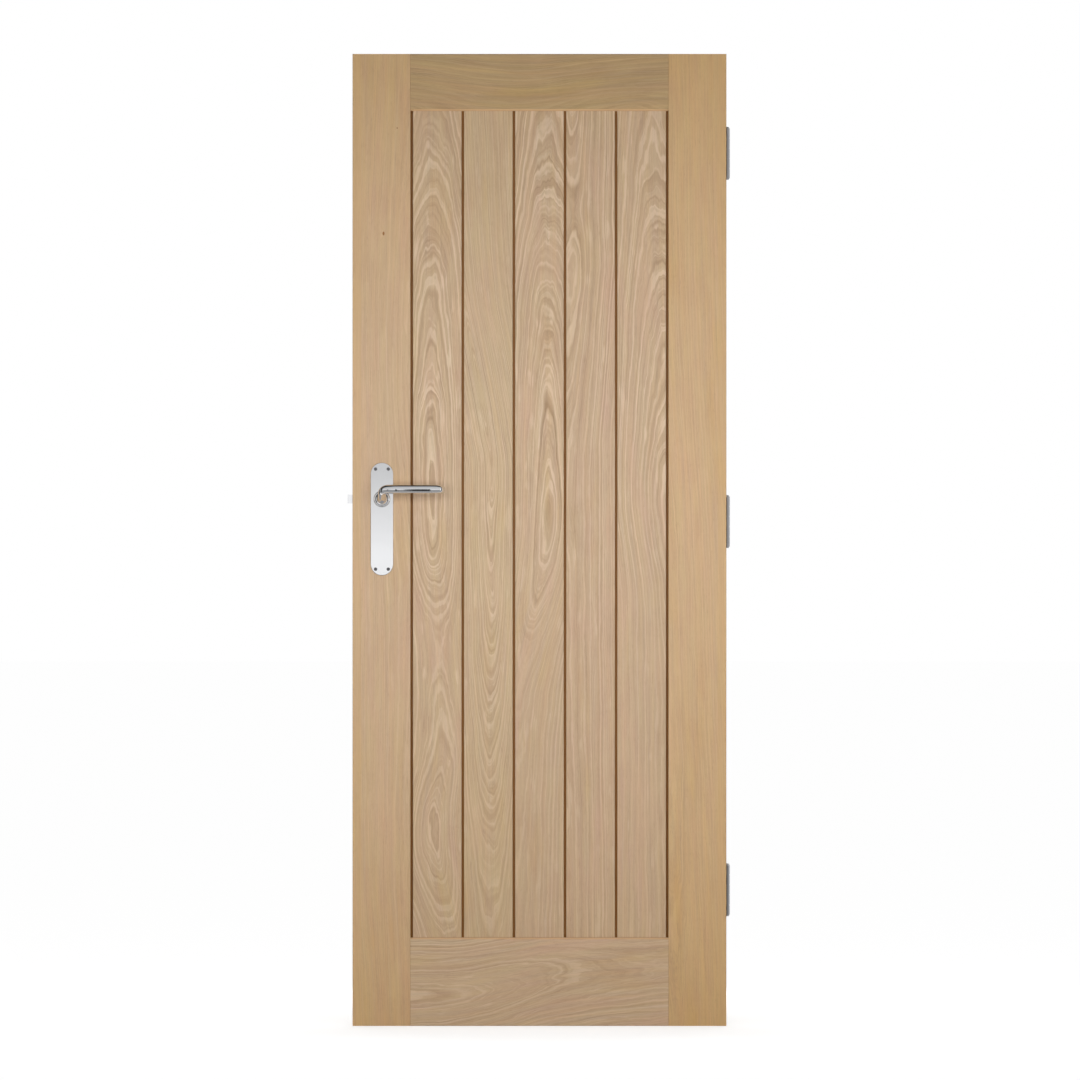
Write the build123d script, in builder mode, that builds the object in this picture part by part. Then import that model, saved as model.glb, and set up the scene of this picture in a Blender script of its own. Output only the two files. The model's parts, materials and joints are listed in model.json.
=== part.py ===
from build123d import *

import math
import os

# Oak door of vertical boards with lever handles, a tubular latch and butt hinges.
# Millimetres. +X to the right, +Y away from the viewer, +Z up.
# The origin is the bottom centre of the leaf, halfway through its thickness.

# Leaf
leaf_width = 762
leaf_height = 1981
leaf_thickness = 35
stile_width = 118
top_rail_height = 116
bottom_rail_height = 180
rail_bevel = 4
edge_arris = 0.8

# Boards
board_count = 5
board_gap = 5
panel_recess = 6
tongue_thickness = 9
tongue_length = 8
tongue_clearance = 0.1
tongue_end_gap = 0.5
board_arris = 0.8

# Dowels in the rails' ends
dowel_diameter = 12
dowel_length = 90
dowel_end_gap = 1
dowel_edge_distance = 35
top_rail_dowels = 2
bottom_rail_dowels = 3

# Latch
latch_backset = 60
spindle_height = 1074
latch_case_diameter = 25
latch_case_thickness = 14
latch_case_wall = 1
latch_bore_clearance = 0.5
forend_height = 57
forend_width = 25
forend_thickness = 3
forend_corner = 5
forend_clearance = 0.1
forend_screw_spacing = 44
forend_screw_length = 20
bolt_projection = 10
bolt_grip = 11
bolt_nose_flat = 2.5
bolt_nose_round = 0.8
bolt_clearance = 0.5
bolt_height = 18
bolt_bevel_depth = 9
lever_turn = 60
follower_tip_reach = 10.1
follower_tip_radius = 1
follower_hub_radius = 6.6
follower_arm_thickness = 4
follower_hub_proud = 0.4
running_clearance = 0.05
tail_rod_diameter = 5
tail_strap_thickness = 2
tail_clearance = 0.3
tail_case_clearance = 0.4
abutment_play = 0.4
tail_front_wall = 6.4
tail_rear_wall = 3
tail_joint_depth = 6
spring_stop_thickness = 1.5
spring_wire = 1
spring_coil_diameter = 11
spring_turns = 6

# Handles
plate_width = 46
plate_height = 230
plate_thickness = 3
plate_edge_round = 1
plate_centre_drop = 41
plate_boss_diameter = 34
plate_boss_height = 6
plate_boss_round = 2.5
plate_screw_across = 26
plate_screw_apart = 204
plate_screw_length = 15
spindle_size = 8
spindle_fit = 0.1
spindle_length = 76
shank_diameter = 15
bush_wall = 2
circlip_thickness = 1.2
circlip_gap = 0.3
circlip_groove_depth = 0.7
circlip_width = 2.4
circlip_opening = 5
lever_collar_diameter = 28
lever_collar_thickness = 3
lever_collar_gap = 0.4
lever_neck_diameter = 17
lever_standoff = 50
lever_rise = 20
lever_length = 125.5
lever_return = 12
lever_droop = 2.5
lever_tip_length = 9
lever_elbow_lean = 2
lever_neck_overlap = 4
lever_neck_straight = 5
lever_neck_share = 0.16
lever_elbow_share = 0.4
lever_grip_share = 0.8
lever_waist_flare = 1
lever_waist_slope = 0.4
lever_neck_bend = 14
lever_elbow_bend = 12
lever_tip_bend = 11
grip_height = 18
grip_depth = 13
grip_tip_height = 16
grip_tip_depth = 12
grip_tip_round = 3
grub_screw_diameter = 5
grub_screw_length = 5
grub_socket = 2.5
grub_margin = 1.5
spindle_hole_diameter = 22

# Screws
screw_diameter = 4
screw_head_diameter = 8
screw_slot_width = 1
screw_slot_depth = 0.9
screw_fit = 0.05
plate_screw_head_diameter = 7

# Hinges
hinge_height = 102
hinge_plate_width = 32
hinge_plate_thickness = 3
hinge_gap = 2
hinge_top_distance = 150
hinge_bottom_distance = 225
knuckle_diameter = 13
knuckle_count = 5
knuckle_back_gap = 0.5
knuckle_notch_gap = 0.4
knuckle_root_wall = 1
pin_diameter = 7
pin_head_diameter = 10
pin_head_height = 3
pin_head_round = 2
washer_thickness = 1.5
washer_gap = 0.1
washer_diameter = 12
hinge_screw_length = 30
hinge_screw_hole = 5
hinge_screw_head_diameter = 8.4
hinge_outer_screw_end_distance = 13
hinge_inner_screw_end_distance = 36
hinge_screw_stagger = 12
hinge_screw_inset = 1
hinge_recess_clearance = 0.1

# Places that follow from the sizes above
front_y = -leaf_thickness / 2
back_y = leaf_thickness / 2
lock_edge_x = -leaf_width / 2
hinge_edge_x = leaf_width / 2
opening_width = leaf_width - 2 * stile_width
opening_bottom = bottom_rail_height
opening_top = leaf_height - top_rail_height
opening_height = opening_top - opening_bottom
tongue_groove_width = tongue_thickness + 2 * tongue_clearance
tongue_groove_depth = tongue_length + tongue_end_gap
board_thickness = leaf_thickness - 2 * panel_recess
board_width = (opening_width - (board_count + 1) * board_gap) / board_count
board_pitch = board_width + board_gap
spindle_x = lock_edge_x + latch_backset
plate_centre_z = spindle_height - plate_centre_drop
hinge_axis_x = hinge_edge_x + hinge_gap / 2
hinge_axis_y = back_y + knuckle_back_gap + knuckle_diameter / 2
hinge_heights = {
    "top": leaf_height - hinge_top_distance - hinge_height / 2,
    "bottom": hinge_bottom_distance + hinge_height / 2,
}
hinge_heights["middle"] = (hinge_heights["top"] + hinge_heights["bottom"]) / 2

os.makedirs("parts", exist_ok=True)


def save(piece, name):
    piece.part.label = name
    export_step(piece.part, f"parts/{name}.step")


def facing_x(x, y, z, direction):
    return Plane(origin=(x, y, z), x_dir=(0, 1, 0), z_dir=(direction, 0, 0))


def facing_y(x, y, z, direction):
    return Plane(origin=(x, y, z), x_dir=(1, 0, 0), z_dir=(0, direction, 0))


def countersunk_screws(heads, length, head_diameter):
    """Screws with slotted countersunk heads, each driven into its plane."""
    head_radius = head_diameter / 2
    shank_radius = screw_diameter / 2
    with BuildPart() as screws:
        with BuildSketch(Plane.XZ) as half_section:
            with BuildLine():
                Polyline(
                    (0, 0),
                    (head_radius, 0),
                    (shank_radius, shank_radius - head_radius),
                    (shank_radius, -length + shank_radius),
                    (0, -length),
                    close=True,
                )
            make_face()
        revolve(axis=Axis.Z)
        slot_size = (2 * head_diameter, screw_slot_width, 2 * screw_slot_depth)
        Box(*slot_size, mode=Mode.SUBTRACT)
    with BuildPart() as group:
        with Locations(*heads):
            add(screws.part)
    return group


# Frame of the leaf


def dowel_levels(bottom, top, count):
    first = bottom + dowel_edge_distance
    last = top - dowel_edge_distance
    return [first + (last - first) * i / (count - 1) for i in range(count)]


rail_dowel_levels = dowel_levels(0, opening_bottom, bottom_rail_dowels)
rail_dowel_levels += dowel_levels(opening_top, leaf_height, top_rail_dowels)
dowel_hole_depth = dowel_length / 2 + dowel_end_gap
dowel_hole_radius = dowel_diameter / 2 + screw_fit


def stile(outer_x, inward):
    """A plain stile with its arrises, its groove for the boards and its dowel holes."""
    inner_x = outer_x + inward * stile_width
    with BuildPart() as piece:
        with BuildSketch() as section:
            with Locations(((outer_x + inner_x) / 2, 0)):
                Rectangle(stile_width, leaf_thickness)
            chamfer(section.vertices(), edge_arris)
        extrude(amount=leaf_height)
        groove_bottom = opening_bottom - tongue_groove_depth
        groove_height = opening_height + 2 * tongue_groove_depth
        with BuildSketch(Plane.XY.offset(groove_bottom)):
            with Locations((inner_x, 0)):
                Rectangle(2 * tongue_groove_depth, tongue_groove_width)
        extrude(amount=groove_height, mode=Mode.SUBTRACT)
        with Locations(*(facing_x(inner_x, 0, z, inward) for z in rail_dowel_levels)):
            Hole(dowel_hole_radius, dowel_hole_depth)
    return piece


def rail(bottom, top, inner_edge_is_top):
    """A rail between the stiles, bevelled and grooved along its inner edge."""
    height = top - bottom
    inner_z = top if inner_edge_is_top else bottom
    with BuildPart() as piece:
        with BuildSketch(Plane.YZ.offset(-opening_width / 2)) as section:
            with Locations((0, (bottom + top) / 2)):
                Rectangle(leaf_thickness, height)
            along_z = section.vertices().group_by(Axis.Y)
            chamfer(along_z[-1] if inner_edge_is_top else along_z[0], rail_bevel)
            along_z = section.vertices().group_by(Axis.Y)
            chamfer(along_z[0] if inner_edge_is_top else along_z[-1], edge_arris)
            with Locations((0, inner_z)):
                Rectangle(tongue_groove_width, 2 * tongue_groove_depth, mode=Mode.SUBTRACT)
        extrude(amount=opening_width)
        levels = [z for z in rail_dowel_levels if bottom < z < top]
        ends = [facing_x(opening_width / 2, 0, z, 1) for z in levels]
        ends += [facing_x(-opening_width / 2, 0, z, -1) for z in levels]
        with Locations(*ends):
            Hole(dowel_hole_radius, dowel_hole_depth)
    return piece


bottom_rail = rail(0, opening_bottom, True)
save(bottom_rail, "bottom_rail")

top_rail = rail(opening_top, leaf_height, False)
save(top_rail, "top_rail")

with BuildPart() as rail_dowels:
    for side in (-1, 1):
        start_x = side * opening_width / 2 - dowel_length / 2
        with BuildSketch(Plane.YZ.offset(start_x)):
            with Locations(*((0, z) for z in rail_dowel_levels)):
                Circle(dowel_diameter / 2)
        extrude(amount=dowel_length)
save(rail_dowels, "rail_dowels")


# Boards with a tongue on the right, which lies in the next board's groove


def board(number):
    """One board. The first has a second tongue, for the groove of the lock stile."""
    left = -opening_width / 2 + board_gap + number * board_pitch
    right = left + board_width
    bottom = opening_bottom - tongue_length
    height = opening_height + 2 * tongue_length
    tongue_reach = board_gap + tongue_length
    with BuildPart() as piece:
        with BuildSketch(Plane.XY.offset(bottom)) as section:
            with Locations(((left + right) / 2, 0)):
                Rectangle(board_width, board_thickness)
            chamfer(section.vertices(), board_arris)
            with Locations((right, 0)):
                Rectangle(2 * tongue_reach, tongue_thickness)
            with Locations((left, 0)):
                if number == 0:
                    Rectangle(2 * tongue_reach, tongue_thickness)
                else:
                    groove = (2 * tongue_groove_depth, tongue_groove_width)
                    Rectangle(*groove, mode=Mode.SUBTRACT)
        extrude(amount=height)
        shoulder = (board_thickness - tongue_thickness) / 2
        for end_z in (opening_bottom, opening_top):
            with BuildSketch(Plane.YZ.offset(left)):
                with Locations(*((side * board_thickness / 2, end_z) for side in (-1, 1))):
                    Rectangle(2 * shoulder, 2 * tongue_length)
                away = -1 if end_z == opening_bottom else 1
                with Locations((0, end_z - away * tongue_length)):
                    Rectangle(2 * board_thickness, 2 * tongue_length, mode=Mode.SUBTRACT)
            extrude(amount=board_width, mode=Mode.SUBTRACT)
    return piece


for number in range(board_count):
    save(board(number), f"board_{number + 1}")


# Tubular latch, worked out from its spindle
# The lever turns half its angle before and half after the follower's arm stands upright,
# which draws the bolt in by the whole swing of the arm's tip.

half_turn = math.radians(lever_turn) / 2
latch_travel = 2 * follower_tip_reach * math.sin(half_turn)
case_front_x = lock_edge_x + forend_thickness
case_radius = latch_case_diameter / 2
case_inner_radius = case_radius - latch_case_wall
case_inner_thickness = latch_case_thickness - 2 * latch_case_wall
bolt_thickness = case_inner_thickness - 2 * bolt_clearance
bolt_back_x = lock_edge_x + bolt_grip
tail_radius = case_inner_radius - tail_case_clearance
window_thickness = follower_arm_thickness + 2 * tail_clearance
tail_thickness = window_thickness + 2 * tail_strap_thickness
hub_slot_half = follower_hub_radius + tail_clearance
arm_tip_x = spindle_x - follower_tip_reach * math.sin(half_turn)
abutment_x = arm_tip_x + follower_tip_radius + abutment_play
abutment_z = follower_tip_reach * math.cos(half_turn)
follower_radius = follower_tip_reach + follower_tip_radius
window_front_x = spindle_x - latch_travel - follower_radius - abutment_play
tail_front_x = window_front_x - tail_front_wall
tail_rear_x = spindle_x + hub_slot_half + tail_rear_wall
stop_front_x = tail_front_x - tail_clearance - spring_stop_thickness
case_inner_end_x = tail_rear_x + latch_travel + tail_clearance
case_end_x = case_inner_end_x + latch_case_wall
latch_bore_radius = case_radius + latch_bore_clearance
latch_bore_end_x = case_end_x + latch_bore_clearance


def rounded_slab(radius, thickness):
    """A disc with flat sides, in the sketch's own axes."""
    Circle(radius)
    Rectangle(thickness, 2 * radius, mode=Mode.INTERSECT)


def latch_plane(x):
    return Plane(origin=(x, 0, spindle_height), x_dir=(0, 1, 0), z_dir=(1, 0, 0))


with BuildPart() as latch_case:
    with BuildSketch(latch_plane(case_front_x)):
        rounded_slab(case_radius, latch_case_thickness)
    extrude(amount=case_end_x - case_front_x)
    with BuildSketch(latch_plane(case_front_x)):
        rounded_slab(case_inner_radius, case_inner_thickness)
    extrude(amount=stop_front_x - case_front_x, mode=Mode.SUBTRACT)
    with BuildSketch(latch_plane(stop_front_x + spring_stop_thickness)):
        rounded_slab(case_inner_radius, case_inner_thickness)
    cavity_length = case_inner_end_x - stop_front_x - spring_stop_thickness
    extrude(amount=cavity_length, mode=Mode.SUBTRACT)
    with BuildSketch(latch_plane(stop_front_x)):
        Circle(tail_rod_diameter / 2 + tail_clearance)
    extrude(amount=spring_stop_thickness, mode=Mode.SUBTRACT)
    with Locations(facing_y(spindle_x, latch_case_thickness / 2, spindle_height, 1)):
        Hole(follower_hub_radius + running_clearance)
save(latch_case, "latch_case")

forend_screw_heads = [
    facing_x(lock_edge_x, 0, spindle_height + side * forend_screw_spacing / 2, -1)
    for side in (-1, 1)
]

with BuildPart() as latch_forend:
    with BuildSketch(latch_plane(lock_edge_x)):
        RectangleRounded(forend_width, forend_height, forend_corner)
    extrude(amount=forend_thickness)
    with BuildSketch(latch_plane(lock_edge_x)):
        Rectangle(bolt_thickness + 2 * bolt_clearance, bolt_height + 2 * bolt_clearance)
    extrude(amount=forend_thickness, mode=Mode.SUBTRACT)
    with Locations(*forend_screw_heads):
        CounterSinkHole(
            screw_diameter / 2 + screw_fit,
            screw_head_diameter / 2 + screw_fit,
            depth=2 * forend_thickness,
            counter_sink_angle=90,
        )
save(latch_forend, "latch_forend")

forend_screws = countersunk_screws(forend_screw_heads, forend_screw_length, screw_head_diameter)
save(forend_screws, "forend_screws")

# The bolt's bevel faces the viewer, which is the side that meets the strike as the door shuts.
with BuildPart() as latch_bolt:
    with BuildSketch(Plane.XY.offset(spindle_height - bolt_height / 2)):
        with BuildLine():
            tip_x = lock_edge_x - bolt_projection
            Polyline(
                (bolt_back_x, -bolt_thickness / 2),
                (tip_x + bolt_bevel_depth, -bolt_thickness / 2),
                (tip_x, bolt_thickness / 2 - bolt_nose_flat),
                (tip_x, bolt_thickness / 2),
                (bolt_back_x, bolt_thickness / 2),
                close=True,
            )
        make_face()
    extrude(amount=bolt_height)
    with Locations(latch_plane(bolt_back_x)):
        Hole(tail_rod_diameter / 2 + screw_fit, tail_joint_depth)
    nose = latch_bolt.faces().sort_by(Axis.X)[0]
    fillet(nose.edges().filter_by(Axis.Z), bolt_nose_round)
save(latch_bolt, "latch_bolt")

with BuildPart() as latch_tail:
    with BuildSketch(latch_plane(tail_front_x)):
        rounded_slab(tail_radius, tail_thickness)
    extrude(amount=tail_rear_x - tail_front_x)
    window_length = abutment_x - window_front_x
    with BuildSketch(latch_plane(window_front_x)):
        Rectangle(window_thickness, latch_case_diameter)
    extrude(amount=window_length, mode=Mode.SUBTRACT)
    slot_front_x = spindle_x - hub_slot_half - latch_travel
    slot_length = 2 * hub_slot_half + latch_travel
    with BuildSketch(latch_plane(slot_front_x)):
        Rectangle(tail_thickness, 2 * hub_slot_half)
        Rectangle(window_thickness, 2 * abutment_z)
    extrude(amount=slot_length, mode=Mode.SUBTRACT)
    with BuildSketch(latch_plane(bolt_back_x - tail_joint_depth)):
        Circle(tail_rod_diameter / 2)
    extrude(amount=tail_front_x - bolt_back_x + tail_joint_depth)
save(latch_tail, "latch_tail")

spring_length = stop_front_x - bolt_back_x - 2 * spring_wire
spring_coil_radius = (spring_coil_diameter - spring_wire) / 2
with BuildPart() as bolt_spring:
    with BuildLine() as coil:
        Helix(
            spring_length / spring_turns,
            spring_length,
            spring_coil_radius,
            center=(bolt_back_x + spring_wire, 0, spindle_height),
            direction=(1, 0, 0),
        )
    with BuildSketch(Plane(origin=coil.line @ 0, z_dir=coil.line % 0)):
        Circle(spring_wire / 2)
    sweep(path=coil.line, is_frenet=True)
save(bolt_spring, "bolt_spring")


def follower_arm(angle):
    """Outline of one arm of the follower, as a finger with a round tip, turned by an angle."""
    turn = math.radians(angle)
    reach = follower_tip_reach
    with Locations((reach / 2 * math.cos(turn), reach / 2 * math.sin(turn))):
        SlotOverall(reach + 2 * follower_tip_radius, 2 * follower_tip_radius, rotation=angle)


hub_length = latch_case_thickness + 2 * follower_hub_proud
with BuildPart() as latch_follower:
    with BuildSketch(facing_y(spindle_x, hub_length / 2, spindle_height, -1)):
        Circle(follower_hub_radius)
    extrude(amount=hub_length)
    with BuildSketch(facing_y(spindle_x, follower_arm_thickness / 2, spindle_height, -1)):
        follower_arm(90 + lever_turn / 2)
        follower_arm(-90 - lever_turn / 2)
    extrude(amount=follower_arm_thickness)
    with BuildSketch(facing_y(spindle_x, hub_length / 2, spindle_height, -1)):
        Rectangle(spindle_size + 2 * spindle_fit, spindle_size + 2 * spindle_fit)
    extrude(amount=hub_length, mode=Mode.SUBTRACT)
save(latch_follower, "latch_follower")

with BuildPart() as spindle:
    with BuildSketch(facing_y(spindle_x, spindle_length / 2, spindle_height, -1)):
        Rectangle(spindle_size, spindle_size)
    extrude(amount=spindle_length)
save(spindle, "spindle")


# Handles, made at the front and mirrored to the back

plate_y = front_y - plate_thickness
boss_y = plate_y - plate_boss_height
shank_radius = shank_diameter / 2
bush_radius = shank_radius + running_clearance + bush_wall
circlip_front_y = front_y + circlip_gap
circlip_back_y = circlip_front_y + circlip_thickness
shank_end_y = circlip_back_y + circlip_thickness
collar_back_y = boss_y - lever_collar_gap
collar_front_y = collar_back_y - lever_collar_thickness
grip_y = front_y - lever_standoff
grip_z = spindle_height + lever_rise
grub_y = collar_front_y - grub_screw_diameter / 2 - grub_margin
neck_y = grub_y - grub_screw_diameter / 2 - grub_margin


def handle_screw_heads(facing):
    """Places of the backplate's screw heads, at the front (-1) or the back (1)."""
    return [
        facing_y(
            spindle_x + across * plate_screw_across / 2,
            -facing * plate_y,
            plate_centre_z + along * plate_screw_apart / 2,
            facing,
        )
        for across in (-1, 1)
        for along in (-1, 1)
    ]


def save_both(piece, name):
    """Saves the front piece, and its mirror image as the back one."""
    save(piece, f"front_{name}")
    with BuildPart() as back_piece:
        mirror(piece.part, about=Plane.XZ)
    save(back_piece, f"back_{name}")


with BuildPart() as backplate:
    with BuildSketch(facing_y(spindle_x, front_y, plate_centre_z, -1)):
        SlotOverall(plate_height, plate_width, rotation=90)
    extrude(amount=plate_thickness)
    fillet(backplate.faces().sort_by(Axis.Y)[0].edges(), plate_edge_round)
    with BuildSketch(facing_y(spindle_x, front_y, spindle_height, -1)):
        Circle(plate_boss_diameter / 2)
    extrude(amount=plate_thickness + plate_boss_height)
    fillet(backplate.faces().sort_by(Axis.Y)[0].edges(), plate_boss_round)
    with BuildSketch(facing_y(spindle_x, front_y, spindle_height, -1)):
        Circle(bush_radius)
    extrude(amount=plate_thickness + plate_boss_height, mode=Mode.SUBTRACT)
    with Locations(*handle_screw_heads(-1)):
        CounterSinkHole(
            screw_diameter / 2 + screw_fit,
            plate_screw_head_diameter / 2 + screw_fit,
            depth=2 * plate_thickness,
            counter_sink_angle=90,
        )
save_both(backplate, "backplate")

plate_screws = countersunk_screws(
    handle_screw_heads(-1), plate_screw_length, plate_screw_head_diameter
)
save_both(plate_screws, "handle_screws")

with BuildPart() as bush:
    with BuildSketch(facing_y(spindle_x, front_y, spindle_height, -1)):
        Circle(bush_radius)
        Circle(shank_radius + running_clearance, mode=Mode.SUBTRACT)
    extrude(amount=plate_thickness + plate_boss_height)
save_both(bush, "bush")

with BuildPart() as circlip:
    with BuildSketch(facing_y(spindle_x, circlip_back_y, spindle_height, -1)):
        Circle(shank_radius - circlip_groove_depth + circlip_width)
        Circle(shank_radius - circlip_groove_depth, mode=Mode.SUBTRACT)
        with Locations((0, -shank_radius)):
            Rectangle(circlip_opening, 2 * circlip_width, mode=Mode.SUBTRACT)
    extrude(amount=circlip_thickness)
save_both(circlip, "circlip")

collar_radius = lever_collar_diameter / 2
neck_radius = lever_neck_diameter / 2
spindle_axis = Axis((spindle_x, 0, spindle_height), (0, 1, 0))
socket_size = spindle_size + 2 * spindle_fit
socket_end_y = -spindle_length / 2 - spindle_fit
elbow_x = spindle_x + lever_elbow_lean
tip_x = spindle_x + lever_length


def lever_section(path, position, height, depth):
    """Oval across the lever's centre line, upright, at a share of the line's length."""
    along = path % position
    upright = Vector(0, 0, 1) - along * along.Z
    with BuildSketch(Plane(origin=path @ position, x_dir=upright, z_dir=along)) as oval:
        Ellipse(height / 2, depth / 2)
    return oval.sketch


with BuildPart() as lever:
    with BuildLine() as centre_line:
        FilletPolyline(
            (spindle_x, neck_y + lever_neck_overlap, spindle_height),
            (spindle_x, neck_y - lever_neck_straight, spindle_height),
            (elbow_x, grip_y, grip_z),
            (tip_x - lever_tip_length, grip_y, grip_z),
            (tip_x, grip_y + lever_return, grip_z - lever_droop),
            radius=[lever_neck_bend, lever_elbow_bend, lever_tip_bend],
        )
    path = centre_line.wire()
    ovals = [
        lever_section(path, 0, lever_neck_diameter, lever_neck_diameter),
        lever_section(path, lever_neck_share, lever_neck_diameter, lever_neck_diameter - 1),
        lever_section(path, lever_elbow_share, grip_height, grip_depth),
        lever_section(path, lever_grip_share, grip_height, grip_depth),
        lever_section(path, 1, grip_tip_height, grip_tip_depth),
    ]
    sweep(sections=ovals, path=path, multisection=True)
    tip_face = lever.faces().sort_by(Axis.X)[-1]
    fillet(tip_face.edges(), grip_tip_round)
    with BuildSketch(Plane(origin=(spindle_x, 0, spindle_height), x_dir=(1, 0, 0))):
        with BuildLine():
            shank = Polyline(
                (0, shank_end_y),
                (shank_radius, shank_end_y),
                (shank_radius, collar_back_y),
                (collar_radius, collar_back_y),
                (collar_radius, collar_front_y),
            )
            waist = Spline(
                shank @ 1,
                (neck_radius + lever_waist_flare, grub_y),
                (neck_radius - lever_waist_flare, neck_y),
                tangents=[(-1, -lever_waist_slope), (-lever_waist_slope, -1)],
            )
            Polyline(waist @ 1, (0, neck_y), shank @ 0)
        make_face()
    revolve(axis=spindle_axis)
    with BuildSketch(facing_y(spindle_x, circlip_back_y, spindle_height, -1)):
        Circle(shank_diameter)
        Circle(shank_radius - circlip_groove_depth, mode=Mode.SUBTRACT)
    extrude(amount=circlip_thickness, mode=Mode.SUBTRACT)
    with BuildSketch(facing_y(spindle_x, shank_end_y, spindle_height, -1)):
        Rectangle(socket_size, socket_size)
    extrude(amount=shank_end_y - socket_end_y, mode=Mode.SUBTRACT)
    grub_mouth = Plane(origin=(spindle_x, grub_y, spindle_height - collar_radius), z_dir=(0, 0, -1))
    with Locations(grub_mouth):
        Hole(grub_screw_diameter / 2 + screw_fit, collar_radius)
save_both(lever, "lever")

grub_end_z = spindle_height - spindle_size / 2
with BuildPart() as grub_screw:
    with BuildSketch(Plane.XY.offset(grub_end_z - grub_screw_length)):
        with Locations((spindle_x, grub_y)):
            Circle(grub_screw_diameter / 2)
    extrude(amount=grub_screw_length)
    with BuildSketch(Plane.XY.offset(grub_end_z - grub_screw_length)):
        with Locations((spindle_x, grub_y)):
            RegularPolygon(grub_socket / 2, 6, major_radius=False)
    extrude(amount=grub_socket, mode=Mode.SUBTRACT)
save_both(grub_screw, "grub_screw")


# Lock stile, bored for the latch and the spindle, with a recess for the forend

with BuildPart() as lock_stile:
    add(stile(lock_edge_x, 1).part)
    with BuildSketch(latch_plane(lock_edge_x)):
        Circle(latch_bore_radius)
    extrude(amount=latch_bore_end_x - lock_edge_x, mode=Mode.SUBTRACT)
    with BuildSketch(latch_plane(lock_edge_x)):
        recess_width = forend_width + 2 * forend_clearance
        recess_height = forend_height + 2 * forend_clearance
        RectangleRounded(recess_width, recess_height, forend_corner)
    extrude(amount=forend_thickness, mode=Mode.SUBTRACT)
    with Locations(*forend_screw_heads):
        Hole(screw_diameter / 2 + screw_fit, forend_screw_length)
    for facing in (-1, 1):
        with Locations(facing_y(spindle_x, facing * back_y, spindle_height, facing)):
            Hole(spindle_hole_diameter / 2, leaf_thickness / 2)
        with Locations(*handle_screw_heads(facing)):
            Hole(screw_diameter / 2 + screw_fit, plate_screw_length)
save(lock_stile, "lock_stile")


# Butt hinges, with their knuckles behind the leaf's back face

knuckle_radius = knuckle_diameter / 2
knuckle_pitch = (hinge_height + washer_thickness + 2 * washer_gap) / knuckle_count
knuckle_height = knuckle_pitch - washer_thickness - 2 * washer_gap
knuckle_bore_radius = pin_diameter / 2 + running_clearance
plate_front_y = back_y - hinge_plate_width
leaf_plate_x = hinge_edge_x - hinge_plate_thickness
frame_plate_x = hinge_edge_x + hinge_gap


def hinge_plate(centre_z, inner_x, knuckle_numbers):
    """A plate with its own knuckles, notched round those of the other plate."""
    bottom = centre_z - hinge_height / 2
    middle_x = inner_x + hinge_plate_thickness / 2
    heads_side = 1 if inner_x < hinge_axis_x else -1
    heads_x = middle_x + heads_side * hinge_plate_thickness / 2
    plate_end_y = hinge_axis_y - pin_diameter / 2 - knuckle_root_wall
    with BuildPart() as piece:
        with BuildSketch(Plane.XY.offset(bottom)):
            with Locations((middle_x, (plate_front_y + plate_end_y) / 2)):
                Rectangle(hinge_plate_thickness, plate_end_y - plate_front_y)
        extrude(amount=hinge_height)
        for number in range(knuckle_count):
            knuckle_bottom = bottom + number * knuckle_pitch
            if number in knuckle_numbers:
                with BuildSketch(Plane.XY.offset(knuckle_bottom)):
                    with Locations((hinge_axis_x, hinge_axis_y)):
                        Circle(knuckle_radius)
                extrude(amount=knuckle_height)
            else:
                gap = washer_thickness + 2 * washer_gap
                with BuildSketch(Plane.XY.offset(knuckle_bottom - gap)):
                    with Locations((hinge_axis_x, hinge_axis_y)):
                        notch = 2 * (knuckle_radius + knuckle_notch_gap)
                        Rectangle(notch, notch)
                extrude(amount=knuckle_height + 2 * gap, mode=Mode.SUBTRACT)
        with BuildSketch(Plane.XY.offset(bottom)):
            with Locations((hinge_axis_x, hinge_axis_y)):
                Circle(knuckle_bore_radius)
        extrude(amount=hinge_height, mode=Mode.SUBTRACT)
        with Locations(*hinge_screw_places(centre_z, heads_x, heads_side)):
            CounterSinkHole(
                hinge_screw_hole / 2,
                hinge_screw_head_diameter / 2 + screw_fit,
                depth=2 * hinge_plate_thickness,
                counter_sink_angle=90,
            )
    return piece


def hinge_screw_places(centre_z, heads_x, side):
    middle_y = (plate_front_y + back_y) / 2 - hinge_screw_inset
    outer = (middle_y - hinge_screw_stagger / 2, hinge_outer_screw_end_distance)
    inner = (middle_y + hinge_screw_stagger / 2, hinge_inner_screw_end_distance)
    return [
        facing_x(heads_x, y, centre_z + end * (hinge_height / 2 - end_distance), side)
        for y, end_distance in (outer, inner)
        for end in (-1, 1)
    ]


for name, centre_z in hinge_heights.items():
    bottom = centre_z - hinge_height / 2
    save(hinge_plate(centre_z, leaf_plate_x, (1, 3)), f"hinge_{name}_leaf_plate")
    save(hinge_plate(centre_z, frame_plate_x, (0, 2, 4)), f"hinge_{name}_frame_plate")

    with BuildPart() as pin:
        with BuildSketch(Plane(origin=(hinge_axis_x, hinge_axis_y, bottom))):
            Circle(pin_diameter / 2)
        extrude(amount=hinge_height)
        for end_z, outward in ((bottom, -1), (bottom + hinge_height, 1)):
            with BuildSketch(Plane(origin=(hinge_axis_x, hinge_axis_y, end_z))):
                Circle(pin_head_diameter / 2)
            extrude(amount=outward * pin_head_height)
        ends = pin.faces().filter_by(Plane.XY).sort_by(Axis.Z)
        fillet([ends[0].edge(), ends[-1].edge()], pin_head_round)
    save(pin, f"hinge_{name}_pin")

hinge_screw_heads = [
    place
    for centre_z in hinge_heights.values()
    for place in hinge_screw_places(centre_z, hinge_edge_x, 1)
]

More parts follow.
